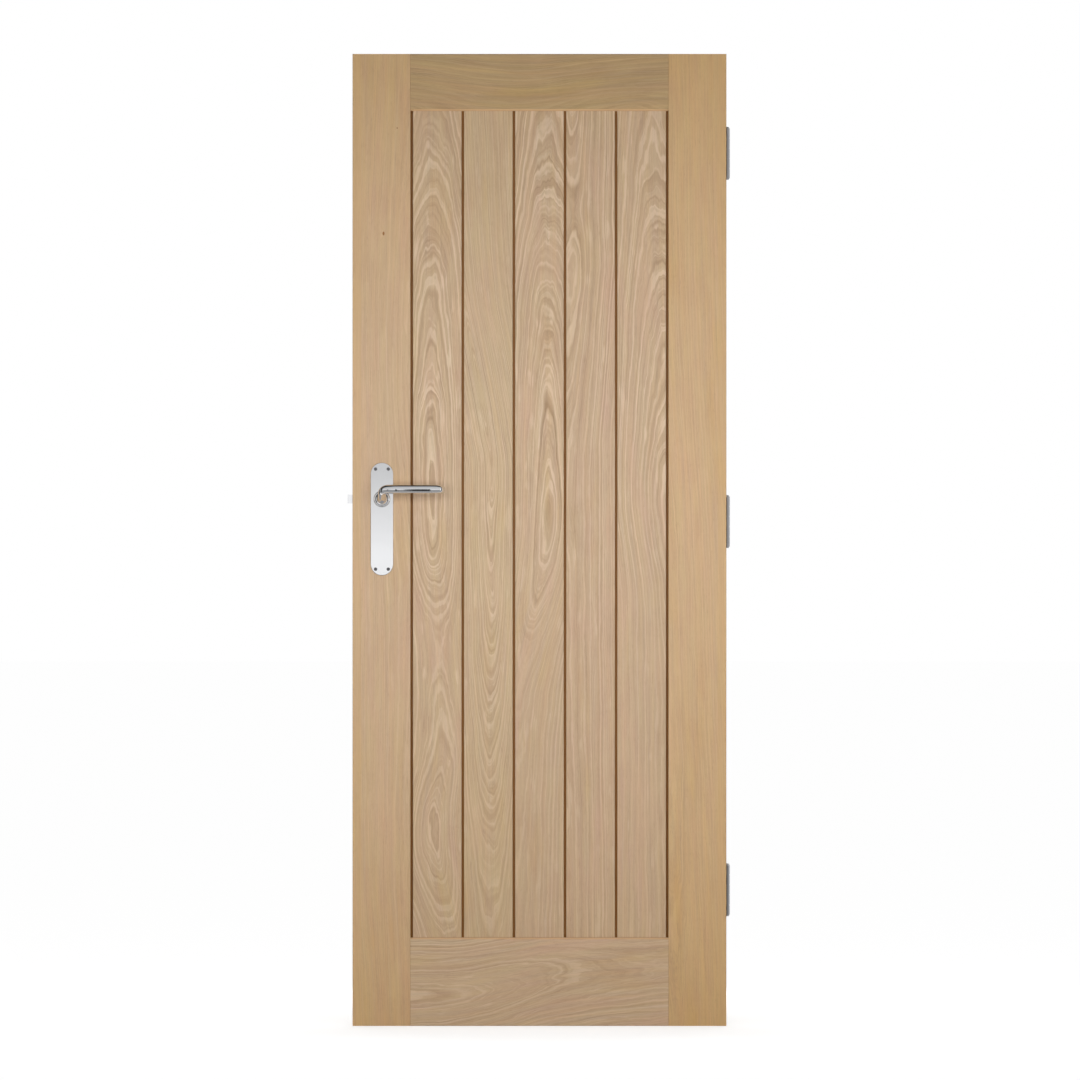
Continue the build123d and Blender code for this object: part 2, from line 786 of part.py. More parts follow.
with BuildPart() as hinge_stile:
    add(stile(hinge_edge_x, -1).part)
    recess_depth = hinge_plate_thickness + hinge_recess_clearance
    recess_width = hinge_plate_width + 2 * hinge_recess_clearance
    recess_height = hinge_height + 2 * hinge_recess_clearance
    for centre_z in hinge_heights.values():
        with BuildSketch(Plane.XY.offset(centre_z - recess_height / 2)):
            with Locations((hinge_edge_x, (plate_front_y + back_y) / 2)):
                Rectangle(2 * recess_depth, recess_width)
        extrude(amount=recess_height, mode=Mode.SUBTRACT)
    with Locations(*hinge_screw_heads):
        Hole(screw_diameter / 2 + screw_fit, hinge_screw_length)
save(hinge_stile, "hinge_stile")

hinge_screws = countersunk_screws(
    hinge_screw_heads, hinge_screw_length, hinge_screw_head_diameter
)
save(hinge_screws, "hinge_screws")

with BuildPart() as hinge_washers:
    for centre_z in hinge_heights.values():
        for number in range(1, knuckle_count):
            gap_top = centre_z - hinge_height / 2 + number * knuckle_pitch - washer_gap
            with BuildSketch(Plane.XY.offset(gap_top - washer_thickness)):
                with Locations((hinge_axis_x, hinge_axis_y)):
                    Circle(washer_diameter / 2)
                    Circle(knuckle_bore_radius, mode=Mode.SUBTRACT)
            extrude(amount=washer_thickness)
save(hinge_washers, "hinge_washers")
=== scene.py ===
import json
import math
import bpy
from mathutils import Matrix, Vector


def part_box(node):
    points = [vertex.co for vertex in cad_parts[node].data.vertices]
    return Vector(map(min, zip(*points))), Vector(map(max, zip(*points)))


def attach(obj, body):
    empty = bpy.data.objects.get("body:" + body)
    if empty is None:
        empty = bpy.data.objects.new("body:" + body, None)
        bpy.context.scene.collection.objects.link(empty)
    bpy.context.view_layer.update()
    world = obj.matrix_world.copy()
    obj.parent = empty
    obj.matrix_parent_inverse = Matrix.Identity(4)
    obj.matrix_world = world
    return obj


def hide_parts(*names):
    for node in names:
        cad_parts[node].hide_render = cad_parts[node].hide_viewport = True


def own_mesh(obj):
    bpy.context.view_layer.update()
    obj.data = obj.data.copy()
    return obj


bl_info = {
    "name": "Oak Boarded Door",
    "version": (1, 0, 0),
    "blender": (4, 5, 0),
    "location": "View3D > Sidebar > Oak Door",
    "description": "Finishes an oak door of vertical boards, with its polished handles, latch and hinges",
    "category": "Object",
}

from collections import namedtuple

import bmesh
import bpy
from mathutils import Matrix, Vector

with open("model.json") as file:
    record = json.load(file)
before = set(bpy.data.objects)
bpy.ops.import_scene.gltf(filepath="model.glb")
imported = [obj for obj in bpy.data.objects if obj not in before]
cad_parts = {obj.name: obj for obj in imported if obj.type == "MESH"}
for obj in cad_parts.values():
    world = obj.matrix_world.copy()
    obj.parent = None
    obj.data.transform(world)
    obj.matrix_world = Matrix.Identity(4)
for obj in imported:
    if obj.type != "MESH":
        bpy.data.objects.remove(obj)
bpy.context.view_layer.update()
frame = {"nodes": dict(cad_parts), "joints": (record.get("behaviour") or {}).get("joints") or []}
nodes = frame["nodes"]

MM = 0.001

# Places on the door, from the frame

FRONT_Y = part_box("lock_stile")[0].y
BOARD_FACE_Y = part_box("board_1")[1].y
JOINTS = {joint["name"]: joint for joint in frame["joints"]}
SPINDLE = Vector(JOINTS["lever_turn"]["pos_m"])


# Node trees written as sums


class Wire:
    """An output of a node. Arithmetic on it adds Math nodes to its sheet."""

    def __init__(self, sheet, socket):
        self.sheet = sheet
        self.socket = socket

    def out(self, name):
        """Another output of the same node."""
        return Wire(self.sheet, find_socket(self.socket.node.outputs, name))

    def __add__(self, other):
        return self.sheet.math("ADD", self, other)

    __radd__ = __add__

    def __sub__(self, other):
        return self.sheet.math("SUBTRACT", self, other)

    def __rsub__(self, other):
        return self.sheet.math("SUBTRACT", other, self)

    def __mul__(self, other):
        return self.sheet.math("MULTIPLY", self, other)

    __rmul__ = __mul__

    def __truediv__(self, other):
        return self.sheet.math("DIVIDE", self, other)

    def __rtruediv__(self, other):
        return self.sheet.math("DIVIDE", other, self)

    def __pow__(self, other):
        return self.sheet.math("POWER", self, other)

    def __abs__(self):
        return self.sheet.math("ABSOLUTE", self)


def find_socket(sockets, key):
    """A socket by its number, or the enabled one of that name."""
    if isinstance(key, int):
        return sockets[key]
    return next(socket for socket in sockets if socket.enabled and socket.name == key)


class Sheet:
    """A node tree in the making, for a material, a world or a shape."""

    def __init__(self, tree):
        tree.nodes.clear()
        self.tree = tree

    def add(self, kind, settings=None, inputs=None, output=None):
        """Adds a node: its settings first, then its inputs, as values or wires."""
        node = self.tree.nodes.new(kind)
        for name, value in (settings or {}).items():
            if name == "stops":
                set_stops(node.color_ramp, value)
            else:
                setattr(node, name, value)
        for key, value in (inputs or {}).items():
            for part in value if isinstance(value, list) else [value]:
                self.feed(find_socket(node.inputs, key), part)
        if not node.outputs:
            return None
        if output is None:
            return Wire(self, next(socket for socket in node.outputs if socket.enabled))
        return Wire(self, find_socket(node.outputs, output))

    def feed(self, socket, value):
        if isinstance(value, Wire):
            self.tree.links.new(value.socket, socket)
        else:
            socket.default_value = value

    def math(self, operation, *values):
        return self.add("ShaderNodeMath", {"operation": operation}, dict(enumerate(values)))

    def distance(self, x, y):
        return self.math("SQRT", x * x + y * y)

    def ease(self, value, start, end):
        """0 before start, 1 after end, and a soft step between them."""
        settings = {"interpolation_type": "SMOOTHSTEP"}
        inputs = {"Value": value, "From Min": start, "From Max": end}
        return self.add("ShaderNodeMapRange", settings, inputs)

    def ramp(self, value, stops):
        return self.add("ShaderNodeValToRGB", {"stops": stops}, {"Fac": value}, "Color")

    def vectors(self, operation, *values):
        return self.add("ShaderNodeVectorMath", {"operation": operation}, dict(enumerate(values)))

    def scaled(self, vector, scale):
        inputs = {"Vector": vector, "Scale": scale}
        return self.add("ShaderNodeVectorMath", {"operation": "SCALE"}, inputs)

    def mix(self, share, first, second):
        """The first colour, with this share of the second."""
        inputs = {"Factor": share, "A": first, "B": second}
        return self.add("ShaderNodeMix", {"data_type": "RGBA", "blend_type": "MIX"}, inputs)

    def vector(self, x, y, z):
        return self.add("ShaderNodeCombineXYZ", None, {"X": x, "Y": y, "Z": z})

    def split(self, vector):
        parts = self.add("ShaderNodeSeparateXYZ", None, {"Vector": vector})
        return parts, parts.out("Y"), parts.out("Z")

    def noise(self, vector, scale=1.0, detail=2.0):
        """Noise about 0, seldom past -1 or 1."""
        inputs = {"Vector": vector, "Scale": scale, "Detail": detail, "Roughness": 0.5}
        return (self.add("ShaderNodeTexNoise", None, inputs) - 0.5) * 2

    def object_place(self):
        return self.add("ShaderNodeTexCoord", output="Object")


def set_stops(ramp, stops):
    """Puts stops on a ramp, each a place and a grey level."""
    ramp.interpolation = "CARDINAL" if len(stops) > 3 else "EASE"
    while len(ramp.elements) < len(stops):
        ramp.elements.new(1)
    for element, (place, level) in zip(ramp.elements, stops):
        element.position = place
        element.color = grey(level)


def grey(level):
    return level, level, level, 1


# Materials and objects


def new_material(name):
    """A material with a bare sheet."""
    material = bpy.data.materials.new(name)
    material.use_nodes = True
    return material, Sheet(material.node_tree)


def shade(sheet, inputs):
    """Ends a material in one Principled shader with these inputs."""
    surface = sheet.add("ShaderNodeBsdfPrincipled", None, inputs)
    sheet.add("ShaderNodeOutputMaterial", None, {"Surface": surface})


def bumped(sheet, height, distance, strength=1.0):
    inputs = {"Height": height, "Distance": distance, "Strength": strength}
    return sheet.add("ShaderNodeBump", None, inputs)


def dress(name, material):
    """Gives a CAD node its material."""
    for slot in nodes[name].material_slots:
        slot.material = material


def add_object(name, data):
    """Puts a mesh, a lamp or a camera in the scene."""
    thing = bpy.data.objects.new(name, data)
    bpy.context.scene.collection.objects.link(thing)
    return thing


# What a user would change


def colour_of(name, description, *colour):
    return bpy.props.FloatVectorProperty(
        name=name, description=description, subtype="COLOR", size=4, min=0, max=1, default=(*colour, 1)
    )


def length_of(name, description, millimetres):
    return bpy.props.FloatProperty(
        name=name, description=description, unit="LENGTH", default=millimetres * MM
    )


def number_of(name, description, default):
    return bpy.props.FloatProperty(name=name, description=description, default=default)


class OakLook(bpy.types.PropertyGroup):
    light: colour_of("Late Wood", "The broad pale part of each ring", 0.720, 0.550, 0.390)
    tan: colour_of("Mid Wood", "Between the pale part of a ring and its pores", 0.530, 0.372, 0.240)
    dark: colour_of("Early Wood", "The narrow porous part of each ring", 0.330, 0.208, 0.116)
    pore: colour_of("Pores", "The open pores", 0.25, 0.14, 0.065)
    # Painted shade: this colour darkens the boards' grooves, a line at the foot of the rails' bevels and
    # the stiles' inner edges in the recess; it is also the knots' own dark colour.
    groove: colour_of("Grooves", "The wood down in the grooves between the boards", 0.27, 0.115, 0.026)
    # Painted highlight: a lighter, warmer colour laid on the rails' inner bevels, where they catch the
    # light.
    bevel: colour_of("Bevels", "The small bevels along the rails", 0.640, 0.400, 0.215)
    honey: colour_of("Honey", "The lippings, and yellower patches in the boards", 0.585, 0.365, 0.150)
    blush: colour_of("Blush", "Broad pinker patches in the boards", 0.560, 0.365, 0.255)
    lipping_width: length_of("Lipping Width", "Width of the yellower edge of each stile", 16)
    pore_depth: length_of("Pore Depth", "Depth of the open pores", 0.12)


class MetalLook(bpy.types.PropertyGroup):
    chrome: colour_of("Chrome", "The polished handles", 0.865, 0.870, 0.885)
    steel: colour_of("Steel", "The satin hinges", 0.60, 0.60, 0.61)
    zinc: colour_of("Zinc", "The plated parts inside the latch", 0.55, 0.56, 0.58)
    chrome_roughness: number_of("Chrome Roughness", "Roughness of the polish", 0.05)
    steel_roughness: number_of("Steel Roughness", "Roughness of the satin steel", 0.32)


class LeverSizes(bpy.types.PropertyGroup):
    grip_standoff: length_of("Standoff", "From the door's face to the grip's centre line", 49.7)
    grip_rise: length_of("Rise", "From the spindle up to the grip's centre line", 20)
    grip_reach: length_of("Reach", "From the spindle to the end of the centre line", 125.5)
    tip_return: length_of("Return", "How far the tip bends back to the door", 12)
    tip_droop: length_of("Droop", "How far the tip drops", 2.5)
    tip_length: length_of("Tip Length", "Length of the bent tip along the door", 9)
    elbow_lean: length_of("Elbow Lean", "How far the elbow leans towards the grip", 2)
    neck_straight: length_of("Neck", "Straight part of the neck past the grub screw", 9)
    neck_bend: length_of("Neck Bend", "Radius of the bend above the neck", 14)
    elbow_bend: length_of("Elbow Bend", "Radius of the bend into the grip", 12)
    tip_bend: length_of("Tip Bend", "Radius of the bend at the tip", 11)
    neck_diameter: length_of("Neck Diameter", "Diameter of the round neck", 17)
    grip_height: length_of("Grip Height", "Height of the grip", 18)
    grip_depth: length_of("Grip Depth", "Depth of the grip", 13)
    tip_height: length_of("Tip Height", "Height of the tip's end", 16)
    tip_depth: length_of("Tip Depth", "Depth of the tip's end", 12)
    tip_round: length_of("Tip Round", "Rounding of the tip's edge", 3)
    squareness: number_of("Squareness", "2 makes the grip an oval, and more makes it squarer", 2.3)
    collar_diameter: length_of("Collar", "Diameter of the collar against the boss", 28)
    collar_thickness: length_of("Collar Thickness", "Thickness of the collar's rim", 3)
    shank_diameter: length_of("Shank", "Diameter of the shank in the boss", 15)
    socket_size: length_of("Socket", "Width of the square socket for the spindle", 8.2)
    grub_hole: length_of("Grub Hole", "Diameter of the hole for the grub screw", 5.1)


class SpringSizes(bpy.types.PropertyGroup):
    wire: length_of("Wire", "Thickness of the spring's wire", 1)
    turns: number_of("Turns", "Turns of the spring", 6.0)


class ScrewSizes(bpy.types.PropertyGroup):
    shank_diameter: length_of("Shank", "Diameter over the thread", 4)
    core_share: number_of("Core", "Core diameter as a share of the shank's", 0.68)
    pitch: length_of("Pitch", "Distance between turns of the thread", 1.8)
    slot_width: length_of("Slot Width", "Width of the driver slot", 1)
    slot_depth: length_of("Slot Depth", "Depth of the driver slot", 0.9)


class StageSettings(bpy.types.PropertyGroup):
    camera_distance: length_of("Camera Distance", "From the camera to the door", 20000)
    view_width: length_of("View Width", "Width of what the camera sees", 2201)
    view_height: length_of("View Height", "Height of the view's centre", 990.4)
    view_right: length_of("View Right", "How far right of the door's middle it looks", 1.1)
    sky: number_of("Sky", "Strength of the even light from all round", 0.15)
    softbox: number_of("Softbox", "Power of each large soft lamp, in watts", 34.5)


# Oak

# One sawn piece of oak: its node, where the pith runs beside it and behind its front face,
# the width of its growth rings in mm and how much they wander, how strong the figure shows,
# how strong the long streaks do, its tone, how yellow it is in the middle and how much more
# at its ends as painted shade, a seed, how far it leans to olive, and whether it lies level. The pith and
# the figure are given as pairs of a share of the piece's length and a distance in mm or a level.
FIELDS = "node beside behind ring wander contrast streaks tone honey end_honey seed olive level"
Cut = namedtuple("Cut", FIELDS, defaults=(0, False))

PITH_REACH = 250 * MM

# The oak's marks, each with its size in mm across and along the grain, its detail and a seed
MARKS = {
    "sway": (40, 170, 2.0, 0),
    "ripple": (15, 60, 2.0, 1),
    "quiver": (6, 26, 1.0, 9),
    "drift": (70, 400, 2.0, 2),
    "fading": (20, 75, 2.0, 7),
    "pore": (0.5, 11, 1.0, 3),
    "fibre": (1.6, 90, 3.0, 4),
    "thread": (1.1, 34, 1.0, 11),
    "streak": (8, 280, 3.0, 8),
    "pale": (17, 62, 1.0, 10),
    "cloud": (45, 210, 3.0, 5),
    "tint": (19, 110, 2.0, 12),
    "fleck": (0.9, 16, 1.0, 6),
}

# How far each seed shifts a mark's noise across, through and along the grain
SEED_SHIFT = (7.3, 3.1, 5.7)

# How porous and how dense the wood is, from a ring's start at 0 to its end at 1
POROUS_PART = [(0.0, 0.9), (0.12, 1.0), (0.36, 0.35), (0.6, 0.0), (0.8, 0.0), (1.0, 0.9)]
DENSE_PART = [(0.0, 0.0), (0.25, 0.1), (0.5, 0.8), (0.75, 1.0), (0.93, 0.5), (1.0, 0.0)]


def pith_at(sheet, share, places):
    """A distance along the grain that changes softly between the given places."""
    stops = [(place, 0.5 + distance * MM / PITH_REACH / 2) for place, distance in places]
    return (sheet.ramp(share, stops) - 0.5) * (2 * PITH_REACH)


def grain_place(sheet, cut):
    """Coordinates across the grain, through the piece and along the grain, and its length."""
    low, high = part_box(cut.node)
    x, y, z = sheet.split(sheet.object_place())
    if cut.level:
        return z - (low.z + high.z) / 2, y - low.y, x - low.x, high.x - low.x
    return x - (low.x + high.x) / 2, y - low.y, z - low.z, high.z - low.z


def oak_material(cut, look):
    """Sawn oak, with rings about a pith that leans and wanders, pores and flecks."""
    material, sheet = new_material(f"oak_{cut.node}")
    across, through, along, length = grain_place(sheet, cut)
    share = along / length
    beside = across - pith_at(sheet, share, cut.beside)
    behind = pith_at(sheet, share, cut.behind) - through

    mark = {}
    for name, (width, height, detail, seed) in MARKS.items():
        scales = (1 / (width * MM), 1 / (width * MM), 1 / (height * MM))
        place = [
            part * scale + shift * (seed + cut.seed)
            for part, scale, shift in zip((beside, through, along), scales, SEED_SHIFT)
        ]
        mark[name] = sheet.noise(sheet.vector(*place), detail=detail)

    wander = mark["sway"] * 2.6 + mark["ripple"] * 1.1 + mark["quiver"] * 0.2
    radius = sheet.distance(beside, behind) + wander * (cut.wander * MM)
    knot = 0
    for middle, size in KNOTS.get(cut.node, []):
        near, inside = knot_masks(sheet, middle, size)
        radius = radius + near * size * 1.5
        knot = knot + inside
    rings = radius / (cut.ring * MM) + mark["drift"] * 0.8
    fading = sheet.ease(mark["fading"], -0.6, 0.6)
    porous, dense, band = ring_parts(sheet, rings, cut.seed, fading)

    pores = sheet.ease(mark["pore"], 0.12, 0.34) * (porous * 0.75 + 0.25)
    thread = sheet.ease(mark["thread"], 0.1, 0.5)
    pale = sheet.ease(mark["pale"], 0.12, 0.6)
    fleck = sheet.ease(mark["fleck"], 0.30, 0.48)
    fibre, streak, cloud, tint = (mark[name] for name in ("fibre", "streak", "cloud", "tint"))

    contrast = sheet.ramp(share, cut.contrast)
    wide_pale = sheet.ease(band + pale * 0.3, 0.0, 0.3)
    wide_deep = sheet.ease(0 - band, 0.02, 0.36)
    colour = sheet.mix(wide_pale * 0.8 * contrast, look.tan, look.light)
    colour = sheet.mix((dense * 0.14 + thread * 0.4) * contrast, colour, look.light)
    colour = sheet.mix((wide_deep * 0.42 + porous * 0.6) * contrast, colour, look.dark)
    colour = sheet.mix(sheet.ease(cloud, 0.0, 0.5) * 0.6 * (1 - cut.honey), colour, look.blush)
    # Painted shade: each piece grows yellower towards its ends, as light falls off there; the rest of the
    # honey share is the wood's own tone.
    ends = abs(share - 0.5) * 2
    honey = cut.honey + ends * ends * cut.end_honey + sheet.ease(0 - cloud, 0.1, 0.6) * 0.25
    honey = honey + streak * 0.22
    colour = sheet.mix(honey, colour, sheet.mix(porous * 0.4, look.honey, look.dark))
    colour = sheet.mix(pores * 0.36 + fleck * 0.2, colour, look.pore)
    level = 1 + fibre * 0.12 + cloud * 0.05 + tint * 0.04 + streak * cut.streaks
    tone = {"Hue": 0.5 + tint * 0.012 + cut.olive, "Value": level * cut.tone, "Color": colour}
    colour = sheet.add("ShaderNodeHueSaturation", None, tone)
    colour = painted_edge_light_and_tones(sheet, cut, look, colour)
    if knot:
        colour = sheet.mix(knot, colour, look.groove)

    height = fibre * 0.15 - pores - porous * 0.25
    shade(
        sheet,
        {
            "Base Color": colour,
            "Roughness": 0.48 + pores * 0.2 + cloud * 0.04,
            "Specular IOR Level": 0.3,
            "Normal": bumped(sheet, height, look.pore_depth),
        },
    )
    return material


def ring_parts(sheet, rings, seed, fading):
    """How porous and how dense each place in the rings is, and the bands of like rings."""
    line = {"noise_dimensions": "1D"}
    band = {"W": rings * 0.3 + seed * 11, "Detail": 2.0, "Roughness": 0.6}
    band = (sheet.add("ShaderNodeTexNoise", line, band) - 0.5) * 2
    rings = rings + band * 1.6
    part = sheet.math("FRACT", rings)
    number = sheet.math("FLOOR", rings) + seed
    ring_porous = sheet.add("ShaderNodeTexWhiteNoise", line, {"W": number})
    ring_dense = sheet.add("ShaderNodeTexWhiteNoise", line, {"W": number * 1.7})
    porous = sheet.ramp(part, POROUS_PART) * (ring_porous * 0.75 + 0.25) * fading
    dense = sheet.ramp(part, DENSE_PART) * ring_dense * (1 - fading * 0.4)
    return porous, dense, band


def knot_masks(sheet, middle, size):
    """How much the grain bends round a knot, and the dark knot itself."""
    x, y, z = sheet.split(sheet.object_place())
    distance = sheet.distance((x - middle[0]) / size, (z - middle[1]) / (size * 1.8))
    return 1 - sheet.ease(distance, 0.5, 4), 1 - sheet.ease(distance, 0.55, 1.1)


def painted_edge_light_and_tones(sheet, cut, look, colour):
    """Painted shade down in the grooves, in the stiles' recess and at the foot of the rails' bevels, a
    painted highlight on the bevels, and the yellower lipping of a stile.
    """
    x, y, z = sheet.split(sheet.object_place())
    low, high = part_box(cut.node)
    groove_y = BOARD_FACE_Y - 0.2 * MM
    if cut.node.startswith("board"):
        # Painted shade: the boards' edges darken from the face down to the tongue, deep in the grooves.
        tongue_y = 4.6 * MM
        down = 1 - sheet.ease(abs(y), tongue_y, groove_y)
        return sheet.mix(down, colour, look.groove)
    if cut.level:
        bevel_size = 4 * MM
        inner = low.z if cut.node == "top_rail" else high.z
        at_edge = 1 - sheet.ease(abs(z - inner), bevel_size, bevel_size + 1 * MM)
        # Painted highlight on each rail's inner bevel, below its face.
        bevel = 1 - sheet.ease(abs(y), high.y - 1.5 * MM, high.y)
        # Painted shade at the foot of the bevel, where it meets the boards.
        bevel_foot_shade = 1 - sheet.ease(abs(y), high.y - bevel_size, high.y - bevel_size + 1 * MM)
        colour = sheet.mix(bevel * at_edge * 0.7, colour, look.bevel)
        return sheet.mix(bevel_foot_shade * at_edge * 0.7, colour, look.groove)
    outer, inner = (low.x, high.x) if cut.node == "lock_stile" else (high.x, low.x)
    lipping = 1 - sheet.ease(abs(x - outer), look.lipping_width, look.lipping_width + 3 * MM)
    colour = sheet.mix(lipping * 0.3, colour, look.honey)
    # Painted shade on the stile's inner edge where it lies deeper than the boards' face, in the recess
    # beside the panel.
    down = 1 - sheet.ease(abs(y), groove_y, high.y)
    at_edge = 1 - sheet.ease(abs(x - inner), 0.1 * MM, 0.3 * MM)
    return sheet.mix(down * at_edge, colour, look.groove)


# Small knots in the faces, each with its middle's x and z and its size
KNOTS = {
    "lock_stile": [((-0.3178, 1.615), 2.6 * MM), ((-0.290, 1.830), 1.2 * MM)],
}

OAK_CUTS = [
    Cut(
        "lock_stile",
        beside=[(0, 100), (0.15, 84), (0.5, 80), (0.75, 72), (1, 78)],
        behind=[(0, 60), (0.4, 75), (0.7, 62), (1, 80)],
        contrast=[(0, 0.36), (1, 0.32)],
        ring=3.6, wander=1.4, streaks=0.06, tone=0.985, honey=0.16, end_honey=0.5, seed=3,
    ),
    Cut(
        "hinge_stile",
        beside=[(0, -40), (0.3, -70), (0.6, -90), (1, -110)],
        behind=[(0, 70), (0.4, 50), (0.7, 66), (1, 60)],
        contrast=[(0, 0.34), (1, 0.36)],
        ring=3.8, wander=1.4, streaks=0.06, tone=0.995, honey=0.42, end_honey=0.4, seed=8,
    ),
    Cut(
        "top_rail",
        beside=[(0, -66), (0.4, -82), (0.7, -74), (1, -60)],
        behind=[(0, 45), (0.4, 60), (0.8, 42), (1, 50)],
        contrast=[(0, 0.6), (1, 0.7)],
        ring=7.4, wander=2.4, streaks=0.26, tone=0.775, honey=0.66, end_honey=0, seed=12,
        olive=0.004, level=True,
    ),
    Cut(
        "bottom_rail",
        beside=[(0, -30), (0.25, -20), (0.5, 10), (1, 34)],
        behind=[(0, 16), (0.25, 26), (0.6, 52), (1, 66)],
        contrast=[(0, 0.6), (0.5, 0.4), (1, 0.45)],
        ring=6.4, wander=3.2, streaks=0.1, tone=0.965, honey=0.1, end_honey=0, seed=21,
        olive=0.002, level=True,
    ),
    Cut(
        "board_1",
        beside=[(0, 26), (0.12, -8), (0.25, 12), (0.5, -9), (1, -10)],
        behind=[
            (0, 56), (0.12, 30), (0.25, 46), (0.38, 52), (0.46, 28),
            (0.56, 20), (0.66, 30), (0.84, 58), (1, 92),
        ],
        contrast=[(0, 0.6), (0.4, 0.65), (0.55, 0.95), (1, 0.9)],
        ring=5.0, wander=1.8, streaks=0.06, tone=0.955, honey=0.05, end_honey=0.12, seed=31,
        olive=0.003,
    ),
    Cut(
        "board_2",
        beside=[(0, -4), (0.5, 0), (0.6, -6), (0.76, -55), (1, -75)],
        behind=[(0, 70), (0.3, 34), (0.6, 7), (0.8, 14), (1, 26)],
        contrast=[(0, 0.5), (0.3, 0.7), (0.6, 0.9), (0.75, 0.6), (1, 0.6)],
        ring=2.8, wander=1.1, streaks=0.07, tone=0.945, honey=0.1, end_honey=0.12, seed=44,
        olive=0.006,
    ),
    Cut(
        "board_3",
        beside=[(0, -56), (0.3, -46), (0.46, 4), (0.6, 11), (1, 11)],
        behind=[(0, 60), (0.36, 42), (0.46, 20), (0.58, 22), (0.8, 54), (1, 92)],
        contrast=[(0, 0.45), (0.4, 0.5), (0.56, 1.0), (1, 1.0)],
        ring=5.0, wander=1.7, streaks=0.06, tone=0.96, honey=0.05, end_honey=0.12, seed=57,
        olive=0.002,
    ),
    Cut(
        "board_4",
        beside=[(0, -60), (0.6, -64), (0.76, -50), (0.86, -42), (1, -44)],
        behind=[(0, 40), (0.6, 44), (0.8, 26), (0.88, 34), (1, 20)],
        contrast=[(0, 0.45), (0.5, 0.55), (1, 0.8)],
        ring=4.6, wander=1.5, streaks=0.08, tone=0.96, honey=0.05, end_honey=0.12, seed=63,
    ),
    Cut(
        "board_5",
        beside=[(0, 60), (0.44, 58), (0.52, 44), (0.7, 40), (1, 20)],
        behind=[(0, 44), (0.4, 36), (0.5, 22), (0.6, 34), (0.8, 70), (1, 100)],
        contrast=[(0, 0.4), (0.42, 0.5), (0.56, 0.9), (1, 0.85)],
        ring=5.0, wander=1.7, streaks=0.07, tone=0.965, honey=0.05, end_honey=0.12, seed=78,
        olive=0.002,
    ),
]


# Metals and the rest


def toned(colour, level):
    """A colour made darker or lighter."""
    return (*(level * part for part in colour[:3]), 1)


def chrome_material(look):
    """Polished plate over a casting: nearly a mirror, with a faint roll in it."""
    material, sheet = new_material("bright_chrome")
    place = sheet.object_place()
    roll = sheet.noise(place, 28, 1)
    haze = sheet.noise(place, 160, 3)
    shade(
        sheet,
        {
            "Base Color": look.chrome,
            "Metallic": 1.0,
            "Roughness": look.chrome_roughness + haze * 0.015,
            "Normal": bumped(sheet, roll, 0.05 * MM, 0.5),
        },
    )
    return material


def satin_material(look):
    """Steel with fine upright lines."""
    material, sheet = new_material("brushed_steel")
    x, y, z = sheet.split(sheet.object_place())
    fine, coarse = 2600, 40
    lines = sheet.noise(sheet.vector(x * fine, y * fine, z * coarse), 1, 2)
    haze = sheet.noise(sheet.object_place(), 60, 3)
    shade(
        sheet,
        {
            "Base Color": sheet.mix(0.5 + lines * 0.4, toned(look.steel, 0.88), look.steel),
            "Metallic": 1.0,
            "Roughness": look.steel_roughness + lines * 0.06 + haze * 0.05,
            "Normal": bumped(sheet, lines, 0.02 * MM, 0.6),
        },
    )
    return material


def plated_material(name, colour, roughness):
    """Plain plated steel, cloudy close up."""
    material, sheet = new_material(name)
    place = sheet.object_place()
    cloud = sheet.noise(place, 180, 3)
    grit = sheet.noise(place, 1400, 2)
    shade(
        sheet,
        {
            "Base Color": sheet.mix(0.5 + cloud * 0.5, toned(colour, 0.82), colour),
            "Metallic": 1.0,
            "Roughness": roughness + cloud * 0.08,
            "Normal": bumped(sheet, grit, 0.02 * MM, 0.5),
        },
    )
    return material


def nylon_material(look):
    """Moulded white nylon."""
    material, sheet = new_material("white_nylon")
    place = sheet.object_place()
    cloud = sheet.noise(place, 120, 2)
    grit = sheet.noise(place, 900, 2)
    shade(
        sheet,
        {
            "Base Color": sheet.mix(0.5 + cloud * 0.4, (0.74, 0.73, 0.69, 1), (0.80, 0.80, 0.77, 1)),
            "Roughness": 0.42 + cloud * 0.05,
            "Normal": bumped(sheet, grit, 0.03 * MM),
        },
    )
    return material


def dowel_material():
    """Beech, with its short dark flecks along the dowel."""
    material, sheet = new_material("dowel_beech")
    x, y, z = sheet.split(sheet.object_place())
    fleck = sheet.ease(sheet.noise(sheet.vector(x * 300, y * 1500, z * 1500), 1, 1), 0.3, 0.5)
    fibre = sheet.noise(sheet.vector(x * 40, y * 900, z * 900), 1, 2)
    colour = sheet.mix(0.5 + fibre * 0.4, (0.60, 0.42, 0.26, 1), (0.68, 0.50, 0.32, 1))
    shade(
        sheet,
        {
            "Base Color": sheet.mix(fleck * 0.6, colour, (0.34, 0.20, 0.11, 1)),
            "Roughness": 0.6 + fleck * 0.1,
            "Normal": bumped(sheet, fibre, 0.05 * MM),
        },
    )
    return material


FINISHES = {
    "bright_chrome": chrome_material,
    "brushed_steel": satin_material,
    "white_nylon": nylon_material,
    "bright_zinc": lambda look: plated_material("bright_zinc", look.zinc, 0.3),
    "sprung_steel": lambda look: plated_material("sprung_steel", (0.40, 0.40, 0.42, 1), 0.28),
    "dull_steel": lambda look: plated_material("dull_steel", (0.24, 0.24, 0.25, 1), 0.35),
}


def finish(look, name):
    """The material of that name, which is made when the first piece needs it."""
    return bpy.data.materials.get(name) or FINISHES[name](look)


# Shapes that repeat or follow a path, made by geometry nodes

# Past this angle between two faces, their edge stays sharp
SHARP_ANGLE = math.radians(35)


